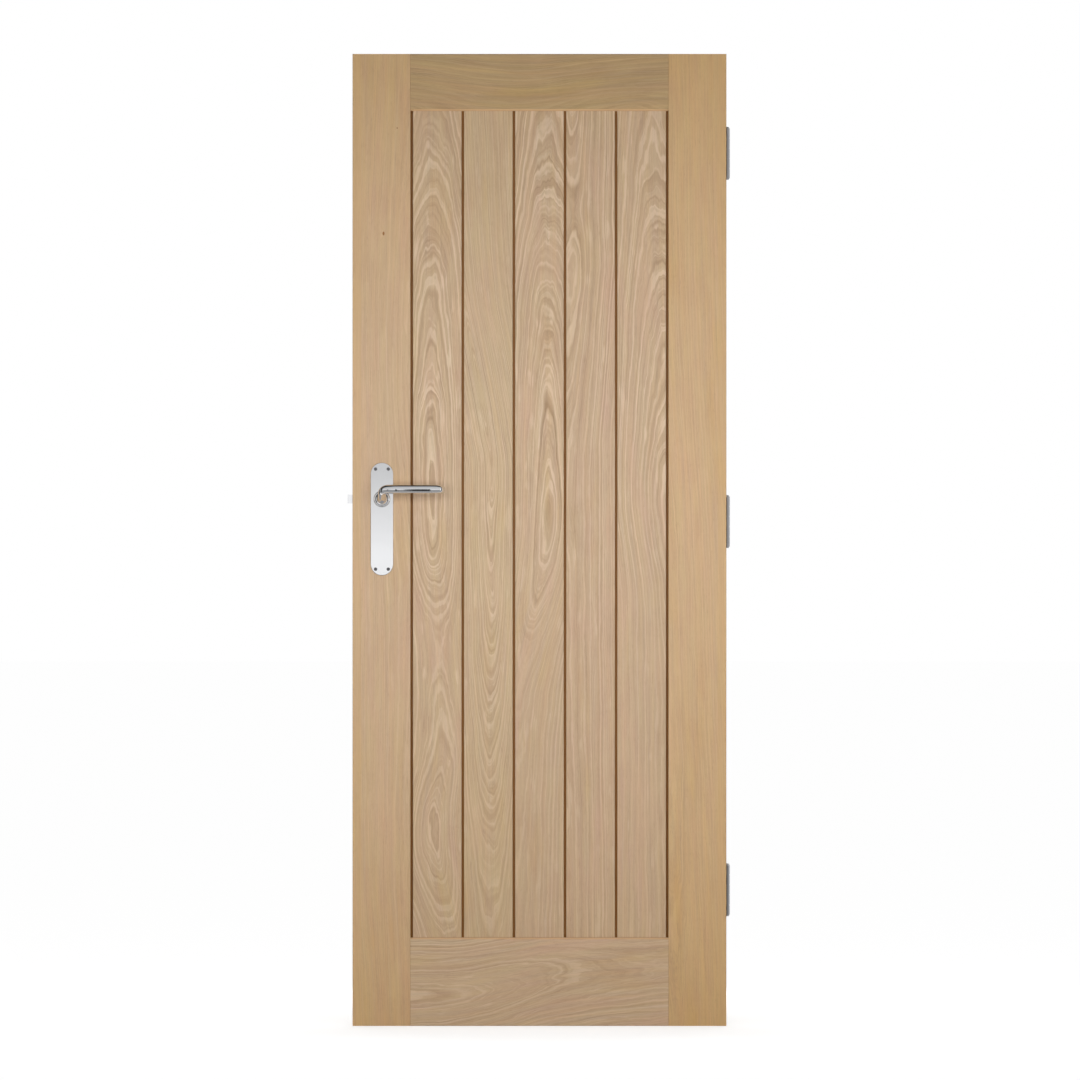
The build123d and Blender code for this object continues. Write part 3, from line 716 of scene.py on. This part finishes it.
def shape_tree(name, sizes):
    """A geometry tree with inputs for a mesh, a material and these named sizes."""
    tree = bpy.data.node_groups.new(name, "GeometryNodeTree")
    tree.interface.new_socket("Geometry", in_out="INPUT", socket_type="NodeSocketGeometry")
    for size, value in sizes.items():
        kind = "NodeSocketInt" if isinstance(value, int) else "NodeSocketFloat"
        socket = tree.interface.new_socket(size, in_out="INPUT", socket_type=kind)
        socket.default_value = value
    tree.interface.new_socket("Material", in_out="INPUT", socket_type="NodeSocketMaterial")
    tree.interface.new_socket("Geometry", in_out="OUTPUT", socket_type="NodeSocketGeometry")
    sheet = Sheet(tree)
    return tree, sheet, sheet.add("NodeGroupInput")


def end_tree(sheet, geometry, material):
    """Ends a geometry tree in real faces of that material."""
    real = sheet.add("GeometryNodeRealizeInstances", None, {"Geometry": geometry})
    painted = sheet.add("GeometryNodeSetMaterial", None, {"Geometry": real, "Material": material})
    sheet.add("NodeGroupOutput", None, {"Geometry": painted})


def run_tree(name, source, tree, sizes, material):
    """Runs a tree on a mesh, and leaves the result as a plain mesh piece."""
    piece = add_object(name, source)
    modifier = piece.modifiers.new("shape", "NODES")
    modifier.node_group = tree
    values = {**sizes, "Material": material}
    for item in tree.interface.items_tree:
        if item.in_out == "INPUT" and item.name in values:
            modifier[item.identifier] = values[item.name]
    settle(piece, modifier, material)
    return piece


def settle(piece, modifier, material):
    """Leaves a piece the plain mesh that a modifier makes of it, of one material."""
    depsgraph = bpy.context.evaluated_depsgraph_get()
    mesh = bpy.data.meshes.new_from_object(piece.evaluated_get(depsgraph))
    piece.modifiers.remove(modifier)
    if not mesh.polygons:
        raise RuntimeError(f"{piece.name} came out empty")
    mesh.materials.clear()
    mesh.materials.append(material)
    mesh.set_sharp_from_angle(angle=SHARP_ANGLE)
    mesh.name = piece.name
    piece.data = mesh


def cut_mesh(piece, tool_mesh, operation, material):
    """Cuts or joins a piece with another mesh."""
    tool = add_object("tool", tool_mesh)
    modifier = piece.modifiers.new("cut", "BOOLEAN")
    modifier.operation = operation
    modifier.solver = "EXACT"
    modifier.use_self = operation == "DIFFERENCE"
    modifier.object = tool
    settle(piece, modifier, material)
    bpy.data.objects.remove(tool)


# Shares of a lever's line at which its neck ends, its grip starts and its tip starts
NECK_END, GRIP_START, TIP_START = 0.16, 0.4, 0.8


def lever_tree(sizes):
    """A lever's neck and grip, swept along its bent centre line."""
    tree, sheet, entry = shape_tree("swept_lever", sizes)
    line = sheet.add("GeometryNodeMeshToCurve", None, {"Mesh": entry.out("Geometry")})
    bend = sheet.add("GeometryNodeInputNamedAttribute", {"data_type": "FLOAT"}, {"Name": "bend"})
    bends = {"Curve": line, "Count": 24, "Radius": bend}
    line = sheet.add("GeometryNodeFilletCurve", {"mode": "POLY"}, bends)
    length = sheet.add("GeometryNodeCurveLength", None, {"Curve": line})

    # A closed tube of rows, the last of which go round the tip's edge
    tube = {"Vertices": 64, "Side Segments": 120, "Radius": 1.0, "Depth": 1.0}
    tube = sheet.add("GeometryNodeMeshCylinder", {"fill_type": "NGON"}, tube)
    across, beside, row = sheet.split(sheet.add("GeometryNodeInputPosition"))
    row = row + 0.5
    straight_rows = 0.9
    turn = sheet.math("MAXIMUM", row - straight_rows, 0) * (math.pi / 2 / (1 - straight_rows))
    edge = entry.out("Tip Round") / length
    share = sheet.math("MINIMUM", row / straight_rows, 1) * (1 - edge) + sheet.math("SINE", turn) * edge
    inset = (1 - sheet.math("COSINE", turn)) * entry.out("Tip Round")

    on_line = {"Curves": line, "Factor": share}
    on_line = sheet.add("GeometryNodeSampleCurve", {"mode": "FACTOR"}, on_line, "Position")
    along = on_line.out("Tangent")
    lean = sheet.split(along)[2]
    upright = sheet.vectors("SUBTRACT", (0, 0, 1), sheet.scaled(along, lean))
    upright = sheet.vectors("NORMALIZE", upright)
    sideways = sheet.vectors("CROSS_PRODUCT", along, upright)

    into_grip = sheet.ease(share, NECK_END, GRIP_START)
    into_tip = sheet.ease(share, TIP_START, 1)

    def section(grip, tip):
        """A size that goes softly from the neck's to the grip's, and on to the tip's."""
        neck, grip, tip = entry.out("Neck Diameter"), entry.out(grip), entry.out(tip)
        return neck + (grip - neck) * into_grip + (tip - grip) * into_tip

    squareness = 2 + (entry.out("Squareness") - 2) * into_grip

    def swelled(part):
        return sheet.math("SIGN", part) * abs(part) ** (2 / squareness)

    height, depth = section("Grip Height", "Tip Height"), section("Grip Depth", "Tip Depth")
    up = sheet.scaled(upright, swelled(across) * (height / 2 - inset))
    side = sheet.scaled(sideways, swelled(beside) * (depth / 2 - inset))
    surface = sheet.vectors("ADD", on_line, sheet.vectors("ADD", up, side))
    swept = sheet.add("GeometryNodeSetPosition", None, {"Geometry": tube, "Position": surface})
    end_tree(sheet, swept, entry.out("Material"))
    return tree


def lever_line(sizes, way, start):
    """A mesh of a lever's centre line, out from the door and along it, with its bends."""
    out = abs(FRONT_Y) + sizes.grip_standoff
    rise = SPINDLE.z + sizes.grip_rise
    tip_x = SPINDLE.x + sizes.grip_reach
    corners = [
        (SPINDLE.x, start, SPINDLE.z, 0),
        (SPINDLE.x, start + sizes.neck_straight, SPINDLE.z, sizes.neck_bend),
        (SPINDLE.x + sizes.elbow_lean, out, rise, sizes.elbow_bend),
        (tip_x - sizes.tip_length, out, rise, sizes.tip_bend),
        (tip_x, out - sizes.tip_return, rise - sizes.tip_droop, 0),
    ]
    mesh = bpy.data.meshes.new("lever_line")
    edges = [(i, i + 1) for i in range(len(corners) - 1)]
    mesh.from_pydata([(x, way * y, z) for x, y, z, bend in corners], edges, [])
    attribute = mesh.attributes.new("bend", "FLOAT", "POINT")
    for entry, corner in zip(attribute.data, corners):
        entry.value = corner[3]
    return mesh


def turned_mesh(name, profile, way, steps=96):
    """A closed mesh turned about the spindle, from pairs of a radius and a distance out."""
    builder = bmesh.new()
    rings = []
    for radius, out in profile:
        count = steps if radius else 1
        ring = []
        for i in range(count):
            angle = math.tau * i / steps
            spoke = Vector((math.cos(angle), 0, math.sin(angle))) * radius
            ring.append(builder.verts.new(spoke + Vector((SPINDLE.x, way * out, SPINDLE.z))))
        rings.append(ring)
    for ring, following in zip(rings, rings[1:]):
        for i in range(steps):
            corners = [ring[i % len(ring)], ring[(i + 1) % len(ring)]]
            corners += [following[(i + 1) % len(following)], following[i % len(following)]]
            builder.faces.new(dict.fromkeys(corners))
    bmesh.ops.recalc_face_normals(builder, faces=builder.faces)
    mesh = bpy.data.meshes.new(name)
    builder.to_mesh(mesh)
    builder.free()
    return mesh


def lever_profile(sizes, side):
    """The turned part of a lever: its shank, the groove for the circlip, collar and waist."""
    clip_back, clip_front = sorted(abs(corner.y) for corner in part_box(f"{side}_circlip"))
    boss = max(abs(corner.y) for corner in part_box(f"{side}_backplate"))
    groove_depth, collar_gap, rim_round = 0.7 * MM, 0.4 * MM, 0.6 * MM
    past_clip, waist_length, waist_inset = 1.2 * MM, 8 * MM, 1 * MM
    shank_radius = sizes.shank_diameter / 2
    rim_radius = sizes.collar_diameter / 2 - rim_round
    waist_radius = sizes.neck_diameter / 2 - waist_inset
    collar_back = boss + collar_gap
    collar_front = collar_back + sizes.collar_thickness
    profile = [
        (0, clip_back - past_clip),
        (shank_radius, clip_back - past_clip),
        (shank_radius, clip_back),
        (shank_radius - groove_depth, clip_back),
        (shank_radius - groove_depth, clip_front),
        (shank_radius, clip_front),
        (shank_radius, collar_back),
        (rim_radius, collar_back),
    ]
    rim_steps, waist_steps, waist_curve = 4, 16, 1.7
    for level, way in ((collar_back, 1), (collar_front, -1)):
        for i in range(rim_steps + 1):
            angle = math.pi / 2 * (i if way == 1 else rim_steps - i) / rim_steps
            radius = rim_radius + rim_round * math.sin(angle)
            profile.append((radius, level + way * rim_round * (1 - math.cos(angle))))
    for i in range(waist_steps + 1):
        share = i / waist_steps
        swell = (rim_radius - waist_radius) * (1 - share) ** waist_curve
        profile.append((waist_radius + swell, collar_front + waist_length * share))
    return profile + [(0, collar_front + waist_length)]


def socket_mesh(sizes, side):
    """What is cut from a lever: the square socket for the spindle and the grub screw's hole."""
    spindle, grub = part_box("spindle"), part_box(f"{side}_grub_screw")
    socket_length = spindle[1].y - spindle[0].y + 0.2 * MM
    hole_depth = SPINDLE.z - grub[0].z + 20 * MM
    builder = bmesh.new()
    matrix = Matrix.Translation((SPINDLE.x, 0, SPINDLE.z))
    matrix @= Matrix.Diagonal((sizes.socket_size, socket_length, sizes.socket_size, 1))
    bmesh.ops.create_cube(builder, size=1, matrix=matrix)
    matrix = Matrix.Translation((SPINDLE.x, (grub[0].y + grub[1].y) / 2, SPINDLE.z - hole_depth / 2))
    hole = {"segments": 32, "radius1": sizes.grub_hole / 2, "radius2": sizes.grub_hole / 2}
    bmesh.ops.create_cone(builder, cap_ends=True, depth=hole_depth, matrix=matrix, **hole)
    mesh = bpy.data.meshes.new("socket")
    builder.to_mesh(mesh)
    builder.free()
    return mesh


def helix_of(sheet, wire, path, lift):
    """A wire of that section, wound up along Z from the given height."""
    helix = sheet.add("GeometryNodeCurveSpiral", None, path)
    lift = sheet.vector(0, 0, lift)
    helix = sheet.add("GeometryNodeTransform", None, {"Geometry": helix, "Translation": lift})
    wire = sheet.add("GeometryNodeCurvePrimitiveCircle", None, wire)
    wound = {"Curve": helix, "Profile Curve": wire, "Fill Caps": True}
    return sheet.add("GeometryNodeCurveToMesh", None, wound)


def facing_turn(sheet):
    """The turn that aims an instance's Z where its point faces."""
    facing = {"Name": "facing"}
    facing = sheet.add("GeometryNodeInputNamedAttribute", {"data_type": "FLOAT_VECTOR"}, facing)
    return sheet.add("FunctionNodeAlignRotationToVector", {"axis": "Z"}, {"Vector": facing})


def coil_tree(sizes):
    """A coil spring on each point, along the direction that the point faces."""
    tree, sheet, entry = shape_tree("coil_spring", sizes)
    radius = (entry.out("Coil Diameter") - entry.out("Wire")) / 2
    path = {
        "Resolution": 32,
        "Rotations": entry.out("Turns"),
        "Start Radius": radius,
        "End Radius": radius,
        "Height": entry.out("Length") - entry.out("Wire"),
    }
    wire = {"Resolution": 10, "Radius": entry.out("Wire") / 2}
    coil = helix_of(sheet, wire, path, entry.out("Wire") / 2)
    places = {"Points": entry.out("Geometry"), "Instance": coil, "Rotation": facing_turn(sheet)}
    coils = sheet.add("GeometryNodeInstanceOnPoints", None, places)
    end_tree(sheet, coils, entry.out("Material"))
    return tree


def screw_tree(sizes):
    """Countersunk wood screws with slotted heads, one at each point, facing as it says."""
    tree, sheet, entry = shape_tree("countersunk_screws", sizes)
    facets, neck_share, thread_share, point_share = 32, 0.25, 0.86, 0.2
    head, shank, length = (entry.out(n) for n in ("Head Diameter", "Shank Diameter", "Length"))
    core = shank * entry.out("Core Share")
    head_depth = (head - shank) / 2
    neck_length = length * neck_share
    core_length = length - head_depth - neck_length
    core_top = (head_depth + neck_length) * -1

    def cone(top_radius, bottom_radius, depth, top_z):
        inputs = {
            "Vertices": facets,
            "Radius Top": top_radius,
            "Radius Bottom": bottom_radius,
            "Depth": depth,
        }
        solid = sheet.add("GeometryNodeMeshCone", {"fill_type": "NGON"}, inputs)
        move = {"Geometry": solid, "Translation": sheet.vector(0, 0, top_z - depth)}
        return sheet.add("GeometryNodeTransform", None, move)

    top = cone(head / 2, shank / 2, head_depth, 0)
    neck = cone(shank / 2, shank / 2, neck_length, head_depth * -1)
    stem = cone(core / 2, core * point_share, core_length, core_top)
    slot_size = sheet.vector(head * 2, entry.out("Slot Width"), entry.out("Slot Depth") * 2)
    slot = sheet.add("GeometryNodeMeshCube", None, {"Size": slot_size})
    slotted = {"Mesh 1": top, "Mesh 2": slot}
    top = sheet.add("GeometryNodeMeshBoolean", {"operation": "DIFFERENCE", "solver": "EXACT"}, slotted)

    thread_length = core_length * thread_share
    path = {
        "Resolution": 14,
        "Rotations": thread_length / entry.out("Pitch"),
        "Start Radius": core * 0.42,
        "End Radius": core * 0.5,
        "Height": thread_length,
    }
    ridge = {"Resolution": 4, "Radius": (shank - core) / 2}
    thread = helix_of(sheet, ridge, path, core_top - thread_length)

    screw = sheet.add("GeometryNodeJoinGeometry", None, {"Geometry": [top, neck, stem, thread]})
    turn = {"Min": 0.0, "Max": math.pi, "Seed": entry.out("Seed")}
    turn = sheet.add("FunctionNodeRandomValue", {"data_type": "FLOAT"}, turn)
    spin = sheet.add("FunctionNodeAxisAngleToRotation", None, {"Axis": (0, 0, 1), "Angle": turn})
    aim = {"Rotation": facing_turn(sheet), "Rotate By": spin}
    aim = sheet.add("FunctionNodeRotateRotation", {"rotation_space": "LOCAL"}, aim)
    places = {"Points": entry.out("Geometry"), "Instance": screw, "Rotation": aim}
    screws = sheet.add("GeometryNodeInstanceOnPoints", None, places)
    end_tree(sheet, screws, entry.out("Material"))
    return tree


def places_mesh(name, places, facing):
    """A mesh of loose points, each with the direction that its piece faces."""
    mesh = bpy.data.meshes.new(f"{name}_places")
    mesh.from_pydata(places, [], [])
    attribute = mesh.attributes.new("facing", "FLOAT_VECTOR", "POINT")
    for entry in attribute.data:
        entry.vector = facing
    return mesh


def screw_places(name, facing):
    """Middle of each head, and the head's diameter and the screw's length, from the node."""
    axis = max(range(3), key=lambda i: abs(facing[i]))
    others = [i for i in range(3) if i != axis]
    low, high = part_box(name)
    head_level = high[axis] if facing[axis] > 0 else low[axis]
    heads = []
    for point in (vertex.co for vertex in nodes[name].data.vertices):
        if abs(point[axis] - head_level) > 0.01 * MM:
            continue
        near = [head for head in heads if (head[0] - point).length < 10 * MM]
        if near:
            near[0].append(point)
        else:
            heads.append([point])
    places, widths = [], []
    for head in heads:
        spans = [(min(point[i] for point in head), max(point[i] for point in head)) for i in others]
        place = Vector((0, 0, 0))
        place[axis] = head_level
        for i, (least, most) in zip(others, spans):
            place[i] = (least + most) / 2
        places.append(place)
        widths.append(max(most - least for least, most in spans))
    return places, max(widths), high[axis] - low[axis]


# The studio


def seen_direct(sheet):
    """1 for what the camera sees itself, in a mirror or through glass."""
    path = sheet.add("ShaderNodeLightPath", output="Is Camera Ray")
    seen = path + path.out("Is Glossy Ray") + path.out("Is Transmission Ray")
    return sheet.math("MINIMUM", seen, 1)


def make_floor():
    """A plain pale floor, which the camera sees as white but for the door's shadow."""
    size, depth = 60, 0.2 * MM
    corners = [(-size, -size, -depth), (size, -size, -depth), (size, size, -depth), (-size, size, -depth)]
    mesh = bpy.data.meshes.new("floor")
    mesh.from_pydata(corners, [], [(0, 1, 2, 3)])
    floor = add_object("floor", mesh)
    material, sheet = new_material("pale_floor")
    x, y, z = sheet.split(sheet.object_place())
    shadow_end, white_start = 0.5, 1.7
    away = sheet.ease(sheet.distance(x, y), shadow_end, white_start)
    glow = {"Color": sheet.mix(away, grey(0.58), grey(0.9)), "Strength": 1.0}
    glow = sheet.add("ShaderNodeEmission", None, glow)
    plain = sheet.add("ShaderNodeBsdfDiffuse", None, {"Color": grey(0.8)})
    shadowed = sheet.add("ShaderNodeBsdfDiffuse", None, {"Color": grey(0.6)})
    bright = sheet.add("ShaderNodeAddShader", None, {0: shadowed, 1: glow})
    surface = sheet.add("ShaderNodeMixShader", None, {0: seen_direct(sheet), 1: plain, 2: bright})
    sheet.add("ShaderNodeOutputMaterial", None, {"Surface": surface})
    mesh.materials.append(material)


def make_world(settings):
    """Even light from all round, which the camera sees as white."""
    world = bpy.data.worlds.new("studio")
    bpy.context.scene.world = world
    world.use_nodes = True
    sheet = Sheet(world.node_tree)
    sky = {"Color": grey(1), "Strength": settings.sky}
    sky = sheet.add("ShaderNodeBackground", None, sky)
    white = sheet.add("ShaderNodeBackground", None, {"Color": grey(1), "Strength": 1.0})
    surface = sheet.add("ShaderNodeMixShader", None, {0: seen_direct(sheet), 1: sky, 2: white})
    sheet.add("ShaderNodeOutputWorld", None, {"Surface": surface})


def make_softbox(name, way, settings):
    """A large soft lamp, facing the door's middle from the front (-1) or the back (1)."""
    lamp = bpy.data.lights.new(name, "AREA")
    lamp.shape = "RECTANGLE"
    lamp.size, lamp.size_y = 2.6, 1.0
    lamp.energy = settings.softbox
    lamp_distance, lamp_height, aim_height = 1.7, 1.2, 1.06
    softbox = add_object(name, lamp)
    softbox.location = (0, way * lamp_distance, lamp_height)
    aim = Vector((0, 0, aim_height)) - softbox.location
    softbox.rotation_euler = aim.to_track_quat("-Z", "Y").to_euler()
    softbox.visible_camera = False
    softbox.visible_glossy = False


def make_cards(side, way):
    """Cards that only show in the polished metal, grey, white and black as in a studio."""
    left, right = SPINDLE.x - 4, SPINDLE.x + 4
    far_y, strip_y, roof_y = way * 2.6, way * 1.6, way * 1.2
    wing_y, wing_end_y = way * 0.6, way * 0.05
    fold_z, roof_z, wing_z, strip_z, tray_z = 2, 2.35, 0.5, 0.05, 1 * MM
    plate_greys = [(0.0, 0.36), (0.37, 0.42), (0.43, 1.03), (0.50, 0.92), (0.575, 0.66), (1.0, 0.56)]
    high_greys = [(0.0, 0.56), (1.0, 0.26)]
    dark = even(0.03)
    make_card(f"{side}_grey_card", left, right, far_y, 0, (0, 0, fold_z), plate_greys)
    make_card(f"{side}_high_card", left, right, far_y, fold_z, (0, 0, 2.6), high_greys)
    make_card(f"{side}_tray", left, right, far_y, tray_z, (0, -way * 2.5, 0), even(0.34))
    make_card(f"{side}_roof", left, right, roof_y, roof_z, (0, -roof_y, 0), dark)
    for name, x, level in (("left", SPINDLE.x - 0.9, 0.06), ("right", SPINDLE.x + 1.6, 0.15)):
        make_card(f"{side}_{name}_wing", x, x, wing_y, wing_z, (0, 0, 1.4), even(level), wing_end_y)
    for name, low_x, high_x, top in (("near", -0.43, -0.314, 0.9), ("far", -0.290, -0.226, 1.04)):
        make_card(f"{side}_{name}_strip", low_x, high_x, strip_y, strip_z, (0, 0, top - strip_z), dark)


def even(level):
    return [(0.0, level), (1.0, level)]


def make_card(name, low_x, high_x, y, z, rise, stops, end_y=None):
    """A card from its base line by the given rise, with grey levels from base to top."""
    first, second = Vector((low_x, y, z)), Vector((high_x, y if end_y is None else end_y, z))
    corners = [first, second, second + Vector(rise), first + Vector(rise)]
    mesh = bpy.data.meshes.new(name)
    mesh.from_pydata(corners, [], [(0, 1, 2, 3)])
    material, sheet = new_material(name)
    height = (sheet.split(sheet.object_place())[2] - z) / (rise[2] or 1)
    glow = {"Color": sheet.ramp(height, stops), "Strength": 1.0}
    glow = sheet.add("ShaderNodeEmission", None, glow)
    sheet.add("ShaderNodeOutputMaterial", None, {"Surface": glow})
    mesh.materials.append(material)
    card = add_object(name, mesh)
    card.visible_camera = False
    card.visible_diffuse = False
    card.visible_shadow = False
    card.visible_transmission = False


def make_camera(settings):
    """A long lens square to the door, as in the photo."""
    lens = bpy.data.cameras.new("camera")
    camera = add_object("camera", lens)
    camera.location = (settings.view_right, FRONT_Y - settings.camera_distance, settings.view_height)
    camera.rotation_euler = (math.pi / 2, 0, 0)
    lens.sensor_width = 36
    lens.lens = lens.sensor_width * settings.camera_distance / settings.view_width
    lens.clip_end = 200
    bpy.context.scene.camera = camera


# Operators


class DOOR_OT_finish_oak(bpy.types.Operator):
    """Gives each stile, rail and board its own cut of oak"""

    bl_idname = "door.finish_oak"
    bl_label = "Finish Oak"

    def execute(self, context):
        for cut in OAK_CUTS:
            dress(cut.node, oak_material(cut, context.scene.door_oak))
        dress("rail_dowels", dowel_material())
        return {"FINISHED"}


class DOOR_OT_finish_handles(bpy.types.Operator):
    """Polishes the backplates, and dresses the bushes, circlips and grub screws in them"""

    bl_idname = "door.finish_handles"
    bl_label = "Finish Handles"

    def execute(self, context):
        look = context.scene.door_metal
        for side in ("front", "back"):
            dress(f"{side}_backplate", finish(look, "bright_chrome"))
            dress(f"{side}_bush", finish(look, "white_nylon"))
            dress(f"{side}_circlip", finish(look, "sprung_steel"))
            dress(f"{side}_grub_screw", finish(look, "bright_zinc"))
        return {"FINISHED"}


class DOOR_OT_finish_latch(bpy.types.Operator):
    """Polishes the latch's forend and bolt, and plates what lies inside the door"""

    bl_idname = "door.finish_latch"
    bl_label = "Finish Latch"

    def execute(self, context):
        look = context.scene.door_metal
        for name in ("latch_forend", "latch_bolt"):
            dress(name, finish(look, "bright_chrome"))
        for name in ("latch_case", "latch_tail", "latch_follower", "spindle"):
            dress(name, finish(look, "bright_zinc"))
        return {"FINISHED"}


class DOOR_OT_finish_hinges(bpy.types.Operator):
    """Gives the three hinges their satin steel"""

    bl_idname = "door.finish_hinges"
    bl_label = "Finish Hinges"

    def execute(self, context):
        satin = finish(context.scene.door_metal, "brushed_steel")
        for name in nodes:
            if name.startswith("hinge_") and name not in ("hinge_stile", "hinge_screws"):
                dress(name, satin)
        return {"FINISHED"}


class DOOR_OT_make_levers(bpy.types.Operator):
    """Shapes the two polished levers, each with its collar, neck, elbow and bent tip"""

    bl_idname = "door.make_levers"
    bl_label = "Make Levers"

    def execute(self, context):
        sizes = context.scene.door_lever
        chrome = finish(context.scene.door_metal, "bright_chrome")
        values = {
            "Neck Diameter": sizes.neck_diameter,
            "Grip Height": sizes.grip_height,
            "Grip Depth": sizes.grip_depth,
            "Tip Height": sizes.tip_height,
            "Tip Depth": sizes.tip_depth,
            "Tip Round": sizes.tip_round,
            "Squareness": sizes.squareness,
        }
        tree = lever_tree(values)
        for side, way in (("front", -1), ("back", 1)):
            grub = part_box(f"{side}_grub_screw")
            start = (abs(grub[0].y) + abs(grub[1].y)) / 2
            line = lever_line(sizes, way, start)
            piece = run_tree(f"{side}_lever_polished", line, tree, values, chrome)
            turned = turned_mesh(f"{side}_collar", lever_profile(sizes, side), way)
            cut_mesh(piece, turned, "UNION", chrome)
            cut_mesh(piece, socket_mesh(sizes, side), "DIFFERENCE", chrome)
            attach(piece, "levers")
            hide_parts(f"{side}_lever")
        return {"FINISHED"}


class DOOR_OT_make_spring(bpy.types.Operator):
    """Winds the latch's spring as one fixed coil; the real spring shortens as the bolt is drawn in"""

    bl_idname = "door.make_spring"
    bl_label = "Make Spring"

    def execute(self, context):
        sizes = context.scene.door_spring
        low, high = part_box("bolt_spring")
        length = high.x - low.x
        values = {
            "Coil Diameter": high.z - low.z,
            "Wire": sizes.wire,
            "Turns": sizes.turns,
            "Length": length,
        }
        places = places_mesh("spring", [Vector((low.x, SPINDLE.y, SPINDLE.z))], Vector((1, 0, 0)))
        steel = finish(context.scene.door_metal, "sprung_steel")
        piece = run_tree("latch_coil_spring", places, coil_tree(values), values, steel)
        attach(piece, "leaf")
        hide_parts("bolt_spring")
        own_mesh(piece)
        return {"FINISHED"}


class DOOR_OT_make_screws(bpy.types.Operator):
    """Drives the slotted screws of the handles, the forend and the hinges"""

    bl_idname = "door.make_screws"
    bl_label = "Make Screws"

    def execute(self, context):
        sizes = context.scene.door_screws
        groups = [
            ("front_handle_screws", Vector((0, -1, 0)), "dull_steel", 1),
            ("back_handle_screws", Vector((0, 1, 0)), "dull_steel", 2),
            ("forend_screws", Vector((-1, 0, 0)), "bright_chrome", 3),
            ("hinge_screws", Vector((1, 0, 0)), "brushed_steel", 4),
        ]
        tree = None
        for name, facing, material, seed in groups:
            places, head, length = screw_places(name, facing)
            values = {
                "Head Diameter": head,
                "Shank Diameter": sizes.shank_diameter,
                "Length": length,
                "Core Share": sizes.core_share,
                "Pitch": sizes.pitch,
                "Slot Width": sizes.slot_width,
                "Slot Depth": sizes.slot_depth,
                "Seed": seed,
            }
            tree = tree or screw_tree(values)
            material = finish(context.scene.door_metal, material)
            places = places_mesh(name, places, facing)
            piece = run_tree(f"{name}_slotted", places, tree, values, material)
            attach(piece, "leaf")
            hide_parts(name)
        return {"FINISHED"}


class DOOR_OT_set_stage(bpy.types.Operator):
    """Makes the pale floor, the soft light and the camera"""

    bl_idname = "door.set_stage"
    bl_label = "Set Stage"

    def execute(self, context):
        settings = context.scene.door_stage
        make_floor()
        make_world(settings)
        for name, way in (("front", -1), ("back", 1)):
            make_softbox(f"{name}_softbox", way, settings)
            make_cards(name, way)
        make_camera(settings)
        return {"FINISHED"}


class DOOR_PT_oak_door(bpy.types.Panel):
    """Sizes, colours and steps of the oak door"""

    bl_idname = "DOOR_PT_oak_door"
    bl_label = "Oak Door"
    bl_space_type = "VIEW_3D"
    bl_region_type = "UI"
    bl_category = "Oak Door"

    def draw(self, context):
        for name, group in SETTINGS.items():
            box = self.layout.box()
            for key in group.__annotations__:
                box.prop(getattr(context.scene, name), key)
        for operator in OPERATORS:
            self.layout.operator(operator.bl_idname)


SETTINGS = {
    "door_oak": OakLook,
    "door_metal": MetalLook,
    "door_lever": LeverSizes,
    "door_spring": SpringSizes,
    "door_screws": ScrewSizes,
    "door_stage": StageSettings,
}
OPERATORS = [
    DOOR_OT_finish_oak,
    DOOR_OT_finish_handles,
    DOOR_OT_finish_latch,
    DOOR_OT_finish_hinges,
    DOOR_OT_make_levers,
    DOOR_OT_make_spring,
    DOOR_OT_make_screws,
    DOOR_OT_set_stage,
]
CLASSES = [*SETTINGS.values(), *OPERATORS, DOOR_PT_oak_door]


def register():
    for thing in CLASSES:
        bpy.utils.register_class(thing)
    for name, group in SETTINGS.items():
        setattr(bpy.types.Scene, name, bpy.props.PointerProperty(type=group))


def unregister():
    for name in SETTINGS:
        delattr(bpy.types.Scene, name)
    for thing in reversed(CLASSES):
        bpy.utils.unregister_class(thing)


def main():
    register()
    bpy.context.scene.view_settings.view_transform = "Standard"
    bpy.ops.door.finish_oak()
    bpy.ops.door.finish_handles()
    bpy.ops.door.finish_latch()
    bpy.ops.door.finish_hinges()
    bpy.ops.door.make_levers()
    bpy.ops.door.make_spring()
    bpy.ops.door.make_screws()
    bpy.ops.door.set_stage()


if __name__ == "__main__":
    main()
